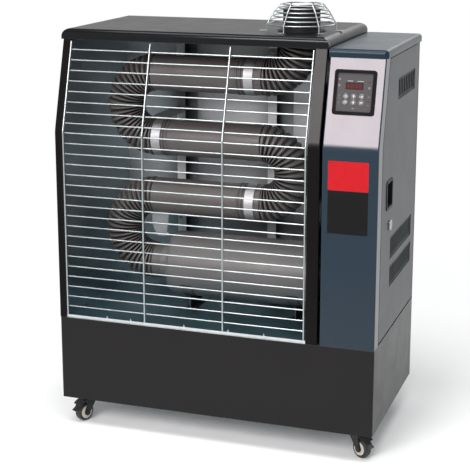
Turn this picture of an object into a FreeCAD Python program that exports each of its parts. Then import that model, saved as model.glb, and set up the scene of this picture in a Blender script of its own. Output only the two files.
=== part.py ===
import FreeCAD
import Part
import math
import os

V = FreeCAD.Vector

# Cabinet, in mm: x runs across, y runs from front to rear, z runs up from the floor
HALF_W = 361.0
FRONT = -200.0
REAR = 200.0
BASE_BOTTOM = 64.0
BASE_TOP = BASE_BOTTOM + 191.0
KNEE_Z = BASE_TOP + 425.0
LEAN = math.radians(16.13)
SLOPE = math.tan(LEAN)
KNEE_R = 60.0
SHEET = 1.2
FIT = 0.2
RUN_GAP = 0.4
FOLD_R = 2.5
FLANGE = 14.0
CTRL_W = 123.0
PART_X = HALF_W - CTRL_W
FULL_TURN = 360.0

# Base box, tank and deck
BASE_CORNER_R = 5.0
PAN_T = 1.5
PAN_LIP = 16.0
RAIL_X = HALF_W - 141.0
RAIL_W = 40.0
RAIL_H = 10.0
DECK_T = 1.5
DECK_LIP = 12.0
TANK_HALF_X = HALF_W - 21.0
TANK_Y = (FRONT + 20.0, REAR - 15.0)
TANK_TOP = BASE_TOP - 9.0
TANK_WALL = 1.0
TANK_R = 14.0
NECK_X = HALF_W - 56.0
NECK_Y = FRONT + 60.0
NECK_R = 25.0
NECK_TOP = BASE_TOP + 21.0
REAR_SLOT_W = 8.0
REAR_SLOT_L = 110.0
REAR_SLOT_X = HALF_W - 121.0
REAR_SLOTS = 4

# Heating chamber
LEFT_FLANGE = 16.0
RIGHT_FLANGE = 26.0
HOOD_TOP = BASE_TOP + 643.0
HOOD_LOW = HOOD_TOP - 23.0
HOOD_END_R = 18.0
HOOD_NOSE_R = 11.0
SIDE_TOP = HOOD_TOP - HOOD_END_R
HOOD_LEFT = -HALF_W - 4.0
HOOD_RIGHT = PART_X + SHEET + FIT
HOOD_FRONT = FRONT + (HOOD_LOW - KNEE_Z) * SLOPE - 1.4
BRIGHT_T = 0.8
SIDE_REFLECT_X = (LEFT_FLANGE + FIT - HALF_W, PART_X - 5.0)
SIDE_REFLECT_INSET = 12.0
REFLECT_Y = REAR - 40.0
REFLECT_TOP = HOOD_LOW - 3.0
SILL_H = 7.0
SILL_INSET = 2.5
LEFT_POST_X = (158.0 - HALF_W, 199.0 - HALF_W)
RIGHT_POST_X = (PART_X - 214.0, PART_X - 162.0)
POST_Y = REFLECT_Y - 30.0
POST_FACE = 21.0
LEDGE_T = 2.0
LEDGE_FRONT = 6.0
LEDGE_DROP = 50.0
LEDGE_TAB = 36.0
LEDGE_RISE = 4.8
LEDGE_GAP = 1.8
LEDGE_TAPER = (7.0, 12.0)
POST_TAB_RISE = 28.0
POST_TAB_H = 15.0
SADDLE_W = 24.0
SADDLE_T = 2.0
ARM_T = 3.0
DRUM_LEG_X = (261.0 - HALF_W, PART_X - 88.0)

# Combustion drum and exhaust serpentine
TUBE_Y = (FRONT + REAR) / 2 - 25.0
TUBE_R = 40.0
BORE_R = TUBE_R - 3.9
RIB_CREST = TUBE_R + 1.8
RIB_VALLEY = TUBE_R - 2.8
RIB_PITCH = 10.4
RIB_STEPS = ((0.0, RIB_VALLEY), (0.32, RIB_CREST), (0.68, RIB_CREST))
DRUM_Z = BASE_TOP + 101.0
LOWER_Z = DRUM_Z + 156.0
MIDDLE_Z = LOWER_Z + 135.0
UPPER_Z = MIDDLE_Z + 147.0
DRUM_R = TUBE_R + 33.0
DRUM_T = 2.0
DRUM_LEFT = 211.0 - HALF_W
DRUM_RIGHT = SIDE_REFLECT_X[1] - RUN_GAP
DRUM_SHOULDER = 10.0
NECK_JOINT_X = DRUM_LEFT - 22.0
LOWER_BEND_X = NECK_JOINT_X - 22.0
RIGHT_BEND_X = PART_X - 174.0
UPPER_BEND_X = LOWER_BEND_X + 3.0
ELBOW_X = PART_X - 171.0
ELBOW_R = 80.0
LOWER_JOINT_X = RIGHT_BEND_X - 24.0
MIDDLE_JOINT_X = UPPER_BEND_X + 11.0
UPPER_JOINT_X = ELBOW_X - 29.0
BEAD_H = 1.6
BEAD_W = 3.0
LOWER_BEADS = (LOWER_JOINT_X - 28.0, LOWER_JOINT_X - 19.0)
MIDDLE_BEADS = (MIDDLE_JOINT_X + 16.0, MIDDLE_JOINT_X + 24.0)
UPPER_BEADS = (UPPER_JOINT_X - 28.0, UPPER_JOINT_X - 19.0)
CLAMP_W = 21.0
CLAMP_T = 1.5
CLAMP_LUG = (12.0, 9.0)
CLAMP_SCREW_R = 3.0
CLAMP_TURN = 155.0

# Flue outlet and its wire guard; each ring is a height above the hood and a gap round the flue
FLUE_X = ELBOW_X + ELBOW_R
FLUE_LOW = UPPER_Z + ELBOW_R
FLUE_RISE = 48.0
FLUE_TOP = HOOD_TOP + FLUE_RISE
FLUE_BORE_R = TUBE_R - 1.5
FLUE_FLANGE_R = TUBE_R + 12.0
GUARD_WIRE_R = 1.4
GUARD_RINGS = ((15.0, 31.0), (24.0, 26.5), (33.0, 21.5), (41.5, 16.0), (49.5, 9.0), (57.5, 2.2))
GUARD_KNEE = len(GUARD_RINGS) // 2
GUARD_LEGS = 6
GUARD_LEG_TURN = 15.0
GUARD_FOOT = (16.0, 10.0)

# Wire grille
GRILLE_LEFT = 17.0 - HALF_W
GRILLE_RIGHT = PART_X - 28.5
UPRIGHT_R = 2.0
UPRIGHT_SHARES = (0.0, 0.3385, 0.6697, 1.0)
WIRE_R = 1.5
WIRE_PITCH = 23.2
WIRE_FIRST_Z = BASE_TOP + 26.6
GRILLE_TOP = HOOD_LOW - 4.0

# Control cabinet
CTRL_LEFT = PART_X + 5.0
CTRL_RETURN = 36.0
CTRL_LEFT_RETURN = 10.0
CTRL_TOP = HOOD_TOP - 21.0
CTRL_SEAM = CTRL_TOP - 17.0
CTRL_COVER = (CTRL_LEFT - 1.0, HALF_W + 4.0)
CTRL_COVER_LIP = 2.5
CTRL_NOSE_R = 8.0
STOP_X = HALF_W - 12.8
STOP_REACH = 60.0
STOP_H = 70.0

# Control panel, measured along the leaning front from the knee
BEZEL_X = (HALF_W - 104.0, HALF_W - 17.0)
BEZEL_V = (69.7, 162.3)
BEZEL_RIM = 7.0
BEZEL_OUT = 3.6
BEZEL_R = 6.0
PANEL_T = 2.0
PANEL_OUT = 1.6
PANEL_R = 3.0
WINDOW_X = (BEZEL_X[0] + 24.0, BEZEL_X[1] - 26.0)
WINDOW_V = (BEZEL_V[0] + 52.0, BEZEL_V[1] - 26.0)
WINDOW_T = 1.4
KEY_STEP = 16.6
KEY_MIDDLE = BEZEL_X[0] + 42.8
KEY_X = (KEY_MIDDLE - KEY_STEP, KEY_MIDDLE, KEY_MIDDLE + KEY_STEP)
KEY_V = (BEZEL_V[0] + 38.5, BEZEL_V[0] + 26.0)
KEY_R = 5.2
KEY_PLAY = 0.35
KEY_OUT = 1.1
KEY_RIM_R = KEY_R + 0.7
KEY_RIM_T = 1.0
KEY_NAMES = (("key_power", "key_up", "key_mode"), ("key_timer", "key_down", "key_set"))
BOARD_T = 1.6
BOARD_DROP = 9.0
BOARD_POST_R = 2.5
BOARD_CHIP = (22.0, 14.0, 4.0)

# Side door with its vents, pull and lock
DOOR_INSET = 40.0
DOOR_Z = (BASE_TOP + 4.0, CTRL_SEAM - 4.0)
DOOR_REAR = REAR - 6.5
DOOR_FRONT_LIP = 10.0
DOOR_REAR_STRIP = REAR - 4.0
HINGE_X = HALF_W - 7.0
HINGE_Y = REAR - 13.0
PIN_R = 3.0
PIN_PLAY = 0.06
PIN_REACH = 7.0
PIN_FOOT_R = 6.0
PIN_ARM = (16.0, 3.0)
VENT_FRAME = 6.0
VENTS = ((REAR - 225.0, REAR - 47.0, CTRL_SEAM - 101.0, CTRL_SEAM - 55.0),
         (REAR - 269.0, REAR - 45.0, BASE_TOP + 165.0, BASE_TOP + 214.0),
         (REAR - 269.0, REAR - 45.0, BASE_TOP + 102.5, BASE_TOP + 149.0))
VENT_COUNTS = (9, 28, 28)
VENT_MARGIN = 6.0
VENT_SLOT_SHARE = 0.5
PULL_Y = (FRONT + 85.0, FRONT + 137.0)
PULL_Z = (BASE_TOP + 285.0, BASE_TOP + 341.0)
PULL_DEPTH = 18.0
PULL_RIM = 4.0
PULL_RIM_T = 1.6
PULL_WALL = 2.0
PULL_R = 5.0
LOCK_Y = FRONT + 120.0
LOCK_Z = BASE_TOP + 244.0
LOCK_R = 9.0
LOCK_HEAD_R = LOCK_R + 2.5
LOCK_HEAD_T = 3.4
LOCK_CAM = (30.0, 11.0, 3.0)
LOCK_CAM_X = HALF_W - 15.0
LOCK_SLOT = (3.0, 12.0, 1.2)

# Burner and fuel feed in the control cabinet
BURNER_X = (PART_X + 8.0, HALF_W - 53.0)
BURNER_R = 75.0
BURNER_T = 3.0
BLAST_R = 38.0
BLAST_T = 2.0
BLAST_LEFT = PART_X - 42.0
BLAST_RIM_R = BLAST_R + 10.0
MOTOR_R = 35.0
MOTOR_RIGHT = BURNER_X[1] + 42.0
SHAFT_R = 5.0
SHAFT_PLAY = 0.06
SHAFT_REACH = 22.0
WHEEL_X = (BURNER_X[0] + 10.0, BURNER_X[1] - 12.0)
FAN_R = BURNER_R - 10.0
FAN_T = 1.6
FAN_HUB_R = 12.0
BLADES = 20
BLADE_W = 16.0
BLADE_T = 1.5
INLET_R = 5.0
INLETS = 8
INLET_RING = 55.0
STAND_W = 60.0
STAND_T = 2.0
FILTER_R = 14.0
FILTER_X = HALF_W - FLANGE - FILTER_R - 1.0
FILTER_Y = REAR - 100.0
FILTER_TOP = BASE_TOP + 67.0
TRANSFORMER_X = (PART_X + 14.0, FILTER_X - FILTER_R - 2.0)
TRANSFORMER_Y = (REAR - 108.0, REAR - 28.0)
TRANSFORMER_H = 57.0
TRANSFORMER_R = 6.0
TERMINAL_R = 7.0
TERMINAL_H = 16.0
PUMP_X = PART_X + 30.0
PUMP_Y = REAR - 138.0
PUMP_R = 16.0
PUMP_TOP = BASE_TOP + 57.0
PUMP_FOOT_R = PUMP_R + 4.0
PUMP_FOOT_T = 3.0
PIPE_R = 3.0
PIPE_BEND = 12.0
PIPE_RISE = 14.0
CAP_R = NECK_R + 5.0
CAP_T = 3.0
CAP_SKIRT = 14.0
CAP_GRIP = (44.0, 9.0, 9.0)

# Casters
CASTER_X = HALF_W - 47.0
CASTER_Y = REAR - 50.0
CASTER_PLATE = 46.0
CASTER_PLATE_T = 2.5
RACE_R = 17.0
RACE_T = 4.0
KING_R = 5.0
KING_HEAD_R = 8.0
KING_HEAD_T = 2.0
KING_PLAY = 0.06
FORK_T = 2.5
FORK_CROWN_R = 18.0
FORK_LEG_W = 15.0
CASTER_TRAIL = 20.0
WHEEL_R = 21.0
WHEEL_W = 18.0
WHEEL_ROUND = 4.0
FORK_INNER = WHEEL_W + 2.6
AXLE_R = 4.0
AXLE_PLAY = 0.06
AXLE_HEAD_R = 6.0
AXLE_HEAD_T = 1.6
CASTERS = (("front_left", -1, -1, 245.0), ("front_right", 1, -1, -32.0),
           ("rear_left", -1, 1, 228.0), ("rear_right", 1, 1, 200.0))
BRAKED = ("front_left", "front_right")
PEDAL_W = WHEEL_W - 2.0
PEDAL_T = 2.0
PEDAL_PIN_R = 2.0
PEDAL_PIN_AT = (CASTER_TRAIL - 11.5, WHEEL_R + 23.8)
PEDAL_GAP = 2.6
PEDAL_SWEEP = (30.0, 116.0)
PEDAL_TIP = (CASTER_TRAIL + 29.0, WHEEL_R + 7.5)
VISOR_GAP = 6.4
VISOR_SWEEP = (46.0, 100.0)


def box(x0, x1, y0, y1, z0, z1):
    return Part.makeBox(x1 - x0, y1 - y0, z1 - z0, V(x0, y0, z0))


def rod(radius, start, end):
    return Part.makeCylinder(radius, (end - start).Length, start, end - start)


def ring(outer, inner, start, end):
    return rod(outer, start, end).cut(rod(inner, start, end))


def prism(points, sweep):
    """Flat outline swept straight along one vector."""
    return Part.Face(Part.makePolygon(points + points[:1])).extrude(sweep)


def side_prism(points, x0, x1):
    """Outline given as y and z, swept across x."""
    return prism([V(x0, y, z) for y, z in points], V(x1 - x0, 0, 0))


def plan_prism(points, z0, z1):
    """Outline given as x and y, swept up."""
    return prism([V(x, y, z0) for x, y in points], V(0, 0, z1 - z0))


def join(shapes):
    return shapes[0].multiFuse(shapes[1:]).removeSplitter()


def cut_all(shape, tools):
    return shape.cut(Part.makeCompound(tools))


def round_edges(shape, radius, chosen):
    """Round each edge whose middle passes the test."""
    return shape.makeFillet(radius, [e for e in shape.Edges if chosen(e)])


def near(a, b):
    return abs(a - b) < 0.01


def upright(edge):
    return near(edge.Vertexes[0].X, edge.Vertexes[-1].X) and near(edge.Vertexes[0].Y, edge.Vertexes[-1].Y)


def front_line(inset, z0, z1):
    """Corners of the leaning front as y and z, moved inward square to the sheet."""
    knee = KNEE_Z - inset * math.tan(LEAN / 2)
    top = FRONT + (z1 - KNEE_Z) * SLOPE + inset / math.cos(LEAN)
    return [(FRONT + inset, z0), (FRONT + inset, knee), (top, z1)]


def side_outline(inset, z0, z1, rear):
    return front_line(inset, z0, z1) + [(rear, z1), (rear, z0)]


def on_lean(shape):
    """Place a shape drawn flat (x across, y up the lean, z outward) on the leaning front."""
    shape.rotate(V(0, 0, 0), V(1, 0, 0), 90 - math.degrees(LEAN))
    shape.translate(V(0, FRONT, KNEE_Z))
    return shape


def rounded_plate(x, y, z, radius):
    plate = box(x[0], x[1], y[0], y[1], z[0], z[1])
    return round_edges(plate, radius, upright)


def save(node, shape):
    shape.exportStep("parts/" + node + ".step")


def base_wrap():
    rear = REAR - SHEET - FIT
    outer = box(-HALF_W, HALF_W, FRONT, rear, BASE_BOTTOM, BASE_TOP)
    outer = round_edges(outer, BASE_CORNER_R, lambda e: upright(e) and e.CenterOfMass.y < 0)
    inner = box(SHEET - HALF_W, HALF_W - SHEET, FRONT + SHEET, REAR, BASE_BOTTOM, BASE_TOP)
    inner = round_edges(inner, BASE_CORNER_R - SHEET, lambda e: upright(e) and e.CenterOfMass.y < 0)
    return outer.cut(inner)


def base_rear_panel():
    plate = box(-HALF_W, HALF_W, REAR - SHEET, REAR, BASE_BOTTOM, BASE_TOP)
    middle = (BASE_BOTTOM + BASE_TOP) / 2
    slots = []
    for i in range(REAR_SLOTS):
        x = REAR_SLOT_X * (2 * i / (REAR_SLOTS - 1) - 1)
        slots.append(rounded_plate((x - REAR_SLOT_L / 2, x + REAR_SLOT_L / 2), (-REAR_SLOT_W / 2, REAR_SLOT_W / 2),
                                   (-SHEET, SHEET * 2), REAR_SLOT_W / 2 - FIT))
    for slot in slots:
        slot.rotate(V(0, 0, 0), V(1, 0, 0), 90)
        slot.translate(V(0, REAR, middle))
    return cut_all(plate, slots)


def base_pan():
    x = HALF_W - SHEET - FIT
    y0 = FRONT + SHEET + FIT
    y1 = REAR - SHEET - FIT
    top = BASE_BOTTOM + PAN_LIP
    tray = box(-x, x, y0, y1, BASE_BOTTOM, top)
    tray = round_edges(tray, BASE_CORNER_R - SHEET, upright)
    well = box(PAN_T - x, x - PAN_T, y0 + PAN_T, y1 - PAN_T, BASE_BOTTOM + PAN_T, top)
    tray = tray.cut(round_edges(well, BASE_CORNER_R - SHEET - PAN_T, upright))
    rails = []
    for side in (-1, 1):
        middle = side * RAIL_X
        rail = box(middle - RAIL_W / 2, middle + RAIL_W / 2, TANK_Y[0], TANK_Y[1], BASE_BOTTOM,
                   BASE_BOTTOM + PAN_T + RAIL_H)
        rails.append(rail)
    hollows = []
    for side in (-1, 1):
        middle = side * RAIL_X
        hollow = box(middle - RAIL_W / 2 + PAN_T, middle + RAIL_W / 2 - PAN_T, TANK_Y[0] + PAN_T,
                     TANK_Y[1] - PAN_T, BASE_BOTTOM, BASE_BOTTOM + RAIL_H)
        hollows.append(hollow)
    return cut_all(join([tray] + rails), hollows)


def fuel_tank():
    low = BASE_BOTTOM + PAN_T + RAIL_H + FIT
    body = box(-TANK_HALF_X, TANK_HALF_X, TANK_Y[0], TANK_Y[1], low, TANK_TOP)
    body = round_edges(body, TANK_R, upright)
    neck = rod(NECK_R, V(NECK_X, NECK_Y, TANK_TOP - TANK_WALL), V(NECK_X, NECK_Y, NECK_TOP))
    inner = box(TANK_WALL - TANK_HALF_X, TANK_HALF_X - TANK_WALL, TANK_Y[0] + TANK_WALL, TANK_Y[1] - TANK_WALL,
                low + TANK_WALL, TANK_TOP - TANK_WALL)
    inner = round_edges(inner, TANK_R - TANK_WALL, upright)
    bore = rod(NECK_R - TANK_WALL, V(NECK_X, NECK_Y, low + TANK_R), V(NECK_X, NECK_Y, NECK_TOP))
    pick_up = rod(PIPE_R + FIT, V(FILTER_X, FILTER_Y, TANK_TOP - TANK_R), V(FILTER_X, FILTER_Y, TANK_TOP))
    return join([body, neck]).cut(join([inner, bore, pick_up]))


def deck_plate():
    x = HALF_W - SHEET - FIT
    y0 = FRONT + SHEET + FIT
    y1 = REAR - SHEET - FIT
    top = BASE_TOP - FIT
    tray = box(-x, x, y0, y1, top - DECK_LIP, top)
    tray = round_edges(tray, BASE_CORNER_R - SHEET, upright)
    well = box(DECK_T - x, x - DECK_T, y0 + DECK_T, y1 - DECK_T, top - DECK_LIP, top - DECK_T)
    tray = tray.cut(round_edges(well, BASE_CORNER_R - SHEET - DECK_T, upright))
    hole = rod(NECK_R + RUN_GAP, V(NECK_X, NECK_Y, top - DECK_T), V(NECK_X, NECK_Y, top))
    pipe = rod(PIPE_R + FIT, V(FILTER_X, FILTER_Y, top - DECK_T), V(FILTER_X, FILTER_Y, top))
    return cut_all(tray, [hole, pipe])


def bend_knee(shape, inset):
    """Round the bend of the front across the cabinet."""
    knee_y, knee_z = front_line(inset, BASE_TOP, CTRL_SEAM)[1]

    def chosen(edge):
        middle = edge.CenterOfMass
        across = not near(edge.Vertexes[0].X, edge.Vertexes[-1].X)
        return across and near(middle.y, knee_y) and near(middle.z, knee_z)
    return round_edges(shape, KNEE_R - inset, chosen)


def front_edge_at(x):
    """Test for the front edges that lie at one x."""
    def chosen(edge):
        ends = edge.Vertexes
        flat = near(ends[0].X, x) and near(ends[-1].X, x)
        middle = edge.CenterOfMass
        return flat and middle.y < FRONT + CTRL_RETURN and ends[0].Z != ends[-1].Z
    return chosen


def left_panel():
    low = BASE_TOP + FIT
    rear = REAR - SHEET - FIT
    solid = bend_knee(side_prism(side_outline(0, low, SIDE_TOP, rear), -HALF_W, LEFT_FLANGE - HALF_W), 0)
    solid = round_edges(solid, FOLD_R, front_edge_at(-HALF_W))
    hollow = side_prism(side_outline(SHEET, low, SIDE_TOP, rear - SHEET), SHEET - HALF_W, LEFT_FLANGE - HALF_W)
    return solid.cut(bend_knee(hollow, SHEET))


def partition_panel():
    low = BASE_TOP + FIT
    rear = REAR - SHEET - FIT
    solid = bend_knee(side_prism(side_outline(0, low, SIDE_TOP, rear), PART_X - RIGHT_FLANGE, PART_X), 0)
    solid = round_edges(solid, FOLD_R, front_edge_at(PART_X))
    hollow = side_prism(side_outline(SHEET, low, SIDE_TOP, rear - SHEET), PART_X - RIGHT_FLANGE, PART_X - SHEET)
    hole = rod(BLAST_R + RUN_GAP, V(PART_X - SHEET, TUBE_Y, DRUM_Z), V(PART_X, TUBE_Y, DRUM_Z))
    return cut_all(solid, [bend_knee(hollow, SHEET), hole])


def rear_panel():
    low = BASE_TOP + FIT
    y = REAR - SHEET
    corners = [(-HALF_W, low), (HALF_W, low), (HALF_W, CTRL_SEAM - FIT), (HOOD_RIGHT + FIT, CTRL_SEAM - FIT),
               (HOOD_RIGHT + FIT, HOOD_LOW - FIT), (-HALF_W, HOOD_LOW - FIT)]
    plate = prism([V(x, y, z) for x, z in corners], V(0, SHEET, 0))
    strip = box(HALF_W - SHEET, HALF_W, DOOR_REAR_STRIP, REAR, low, CTRL_SEAM - FIT)
    slots = []
    for (y0, y1, z0, z1), count in zip(VENTS[:2], VENT_COUNTS):
        for i in range(count):
            z = z0 + (z1 - z0) * i / count
            slots.append(box(CTRL_LEFT + FLANGE, HALF_W - FLANGE * 2, y, REAR, z, z + (z1 - z0) / count / 2))
    return cut_all(join([plate, strip]), slots)


def hood_form(inset):
    """Rounded cap outline, made by crossing the side profile with the front profile."""
    low = HOOD_LOW
    if inset:
        low = HOOD_LOW - HOOD_NOSE_R
    top = HOOD_TOP - inset
    along = box(HOOD_LEFT + inset, HOOD_RIGHT - inset, FRONT, REAR, low, top)
    along = round_edges(along, HOOD_END_R - inset, lambda e: near(e.CenterOfMass.z, top) and near(e.CenterOfMass.y, 0))
    profile = [(HOOD_FRONT + inset, low), (HOOD_FRONT + inset, top), (REAR - inset, top), (REAR - inset, low)]
    across = side_prism(profile, HOOD_LEFT, HOOD_RIGHT)
    middle = (HOOD_LEFT + HOOD_RIGHT) / 2
    across = round_edges(across, HOOD_NOSE_R - inset, lambda e: near(e.CenterOfMass.z, top) and near(e.CenterOfMass.x, middle))
    return along.common(across)


def hood():
    shell = hood_form(0).cut(hood_form(SHEET))
    hole = rod(TUBE_R + FIT, V(FLUE_X, TUBE_Y, HOOD_LOW), V(FLUE_X, TUBE_Y, HOOD_TOP))
    return shell.cut(hole)


def side_reflectors():
    low = BASE_TOP + BRIGHT_T + FIT
    plates = []
    for x in SIDE_REFLECT_X:
        outline = side_outline(SIDE_REFLECT_INSET, low, REFLECT_TOP, REFLECT_Y - FIT)
        plates.append(side_prism(outline, x, x + BRIGHT_T))
    hole = rod(BLAST_R + RUN_GAP, V(DRUM_RIGHT, TUBE_Y, DRUM_Z), V(PART_X, TUBE_Y, DRUM_Z))
    return Part.makeCompound([plates[0], plates[1].cut(hole)])


def rear_reflector():
    low = BASE_TOP + FIT
    x0 = SIDE_REFLECT_X[0]
    x1 = SIDE_REFLECT_X[1] + BRIGHT_T
    rear = REAR - (SHEET + FIT) * 2
    profile = [(REFLECT_Y, low), (REFLECT_Y, REFLECT_TOP), (rear, REFLECT_TOP), (rear, REFLECT_TOP - BRIGHT_T),
               (REFLECT_Y + BRIGHT_T, REFLECT_TOP - BRIGHT_T), (REFLECT_Y + BRIGHT_T, low)]
    return side_prism(profile, x0, x1)


def floor_reflector():
    low = BASE_TOP
    y0 = FRONT + SILL_INSET
    y1 = REFLECT_Y - FIT
    profile = [(y0, low), (y0, low + SILL_H), (y0 + BRIGHT_T, low + SILL_H), (y0 + BRIGHT_T, low + BRIGHT_T),
               (y1, low + BRIGHT_T), (y1, low)]
    return side_prism(profile, LEFT_FLANGE - HALF_W + FIT, SIDE_REFLECT_X[1])


def post(x0, x1):
    """Upright channel, open to the right, with a narrow front face and a wide back."""
    low = BASE_TOP + BRIGHT_T + FIT
    y1 = REFLECT_Y - FIT
    face = x0 + POST_FACE
    outline = [(x0, y1), (x0, POST_Y), (face, POST_Y), (face, POST_Y + SHEET), (x0 + SHEET, POST_Y + SHEET),
               (x0 + SHEET, y1 - SHEET), (x1, y1 - SHEET), (x1, y1)]
    return plan_prism(outline, low, REFLECT_TOP - BRIGHT_T - FIT)


def ledge(x0, x1, z, drop, tab):
    """Bent plate from a post to a tube, with a front flange and a tab on the post."""
    y0 = TUBE_Y - LEDGE_FRONT
    plate = box(x0, x1, y0, POST_Y, z, z + LEDGE_T)
    back = box(x0, x0 + POST_FACE, POST_Y - LEDGE_T, POST_Y, min(z, z + tab), max(z, z + tab))
    pieces = [plate, back]
    if drop:
        right, left = LEDGE_TAPER
        outline = [(x0, z), (x1, z), (x1 - right, z - drop), (x0 + left, z - drop), (x0, z - drop / 2)]
        pieces.append(prism([V(x, y0, h) for x, h in outline], V(0, LEDGE_T, 0)))
    return join(pieces)


def tube_saddle(x, z):
    """Half ring behind a tube with an arm back to its post."""
    inner = TUBE_R + FIT
    start = V(x - SADDLE_W / 2, TUBE_Y, z)
    end = V(x + SADDLE_W / 2, TUBE_Y, z)
    half = ring(inner + SADDLE_T, inner, start, end)
    reach = inner + SADDLE_T
    half = half.cut(box(start.x, end.x, TUBE_Y - reach, TUBE_Y, z - reach, z + reach))
    arm = box(start.x, end.x, TUBE_Y + inner + SADDLE_T / 2, REFLECT_Y - FIT, z - ARM_T / 2, z + ARM_T / 2)
    return join([half, arm])


def drum_leg(x):
    """Cradle under the drum with one plate down to the floor."""
    inner = DRUM_R + FIT
    start = V(x - SADDLE_W / 2, TUBE_Y, DRUM_Z)
    end = V(x + SADDLE_W / 2, TUBE_Y, DRUM_Z)
    reach = inner + SADDLE_T
    half = ring(reach, inner, start, end)
    half = half.cut(box(start.x, end.x, TUBE_Y - reach, TUBE_Y + reach, DRUM_Z - DRUM_R / 2, DRUM_Z + reach))
    low = BASE_TOP + BRIGHT_T + FIT
    plate = box(x - ARM_T / 2, x + ARM_T / 2, TUBE_Y - DRUM_R / 2, TUBE_Y + DRUM_R / 2, low, DRUM_Z)
    plate = plate.cut(rod(inner, start, end))
    foot = box(start.x, end.x, TUBE_Y - DRUM_R / 2, TUBE_Y + DRUM_R / 2, low, low + SADDLE_T)
    return join([half, plate, foot])


def tube_supports():
    left = LEFT_POST_X[0] + POST_FACE + SADDLE_W / 2
    right = RIGHT_POST_X[0] + SADDLE_W / 2
    over = MIDDLE_Z + TUBE_R + LEDGE_RISE
    under = LOWER_Z - RIB_CREST - LEDGE_GAP - LEDGE_T
    first = join([post(*LEFT_POST_X), tube_saddle(left, UPPER_Z), ledge(*LEFT_POST_X, over, 0, LEDGE_TAB),
                  ledge(*LEFT_POST_X, under, LEDGE_DROP, -LEDGE_TAB)])
    tab_z = UPPER_Z + POST_TAB_RISE
    tab = box(RIGHT_POST_X[0], RIGHT_POST_X[0] + POST_FACE, POST_Y - LEDGE_T, POST_Y, tab_z, tab_z + POST_TAB_H)
    second = join([post(*RIGHT_POST_X), tube_saddle(right, MIDDLE_Z), tab])
    return Part.makeCompound([first, second] + [drum_leg(x) for x in DRUM_LEG_X])


def combustion_drum():
    """Welded drum with a rounded shoulder, a narrow neck at the left and a burner hole at the right."""
    joint = NECK_JOINT_X
    inner_neck = TUBE_R - DRUM_T
    inner_drum = DRUM_R - DRUM_T
    shoulder = DRUM_LEFT + DRUM_SHOULDER
    outline = [(joint, inner_neck), (joint, TUBE_R), (DRUM_LEFT, TUBE_R), (DRUM_LEFT, DRUM_R - DRUM_SHOULDER),
               (DRUM_LEFT + DRUM_SHOULDER * (1 - math.sqrt(0.5)), DRUM_R - DRUM_SHOULDER * (1 - math.sqrt(0.5))),
               (shoulder, DRUM_R), (DRUM_RIGHT, DRUM_R), (DRUM_RIGHT, BLAST_R + RUN_GAP),
               (DRUM_RIGHT - DRUM_T, BLAST_R + RUN_GAP), (DRUM_RIGHT - DRUM_T, inner_drum), (shoulder, inner_drum),
               (DRUM_LEFT + DRUM_T, DRUM_R - DRUM_SHOULDER), (DRUM_LEFT + DRUM_T, inner_neck)]
    points = [V(x, TUBE_Y, DRUM_Z + r) for x, r in outline]
    face = Part.Face(Part.makePolygon(points + points[:1]))
    return face.revolve(V(0, TUBE_Y, DRUM_Z), V(1, 0, 0), FULL_TURN)


def section(x, z, heading, radius):
    """Circle square to the tube path; its seam always faces the rear."""
    circle = Part.Circle(V(x, TUBE_Y, z), V(math.cos(heading), 0, math.sin(heading)), radius)
    circle.XAxis = V(0, 1, 0)
    return Part.Wire(circle.toShape())


def straight_sections(x0, x1, z, beads):
    """Plain tube along x with raised bead rings."""
    way = math.copysign(1, x1 - x0)
    heading = 0 if way > 0 else math.pi
    rows = [section(x0, z, heading, TUBE_R)]
    for bead in sorted(beads, key=lambda b: b * way):
        for step, rise in ((-BEAD_W, 0), (-BEAD_W / 2, BEAD_H), (BEAD_W / 2, BEAD_H), (BEAD_W, 0)):
            rows.append(section(bead + step * way, z, heading, TUBE_R + rise))
    rows.append(section(x1, z, heading, TUBE_R))
    return rows


def bend_sections(x, z, radius, start, sweep):
    """Ribbed bend about one centre, rib after rib."""
    ribs = round(abs(sweep) * radius / RIB_PITCH)
    turn = math.copysign(math.pi / 2, sweep)
    rows = []
    for rib in range(ribs):
        for share, rib_radius in RIB_STEPS:
            angle = start + sweep * (rib + share) / ribs
            rows.append((angle, rib_radius))
    rows.append((start + sweep, RIB_VALLEY))
    return [section(x + radius * math.cos(a), z + radius * math.sin(a), a + turn, r) for a, r in rows]


def tube_bore(path):
    """Smooth bore along the same path."""
    edges = path.OrderedEdges
    start = edges[0].valueAt(edges[0].FirstParameter)
    heading = edges[0].tangentAt(edges[0].FirstParameter)
    mouth = Part.Circle(start, heading, BORE_R)
    return path.makePipeShell([Part.Wire(mouth.toShape())], True, False)


def point(x, z):
    return V(x, TUBE_Y, z)


def u_path(x0, x1, z0, z1, bend_x, side):
    """Straight run in, half turn, straight run out."""
    middle = (z0 + z1) / 2
    tip = bend_x + side * (z1 - z0) / 2
    first = Part.makeLine(point(x0, z0), point(bend_x, z0))
    turn = Part.Arc(point(bend_x, z0), point(tip, middle), point(bend_x, z1)).toShape()
    last = Part.makeLine(point(bend_x, z1), point(x1, z1))
    return Part.Wire([first, turn, last])


def u_run(x0, x1, z0, z1, bend_x, side, beads):
    """One exhaust piece: short plain end, ribbed half turn and plain tube."""
    radius = (z1 - z0) / 2
    rows = straight_sections(x0, bend_x - side * FIT, z0, ())
    rows += bend_sections(bend_x, z0 + radius, radius, -math.pi / 2, side * math.pi)
    rows += straight_sections(bend_x - side * FIT, x1, z1, beads)
    solid = Part.makeLoft(rows, True, True)
    return solid.cut(tube_bore(u_path(x0, x1, z0, z1, bend_x, side)))


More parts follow.
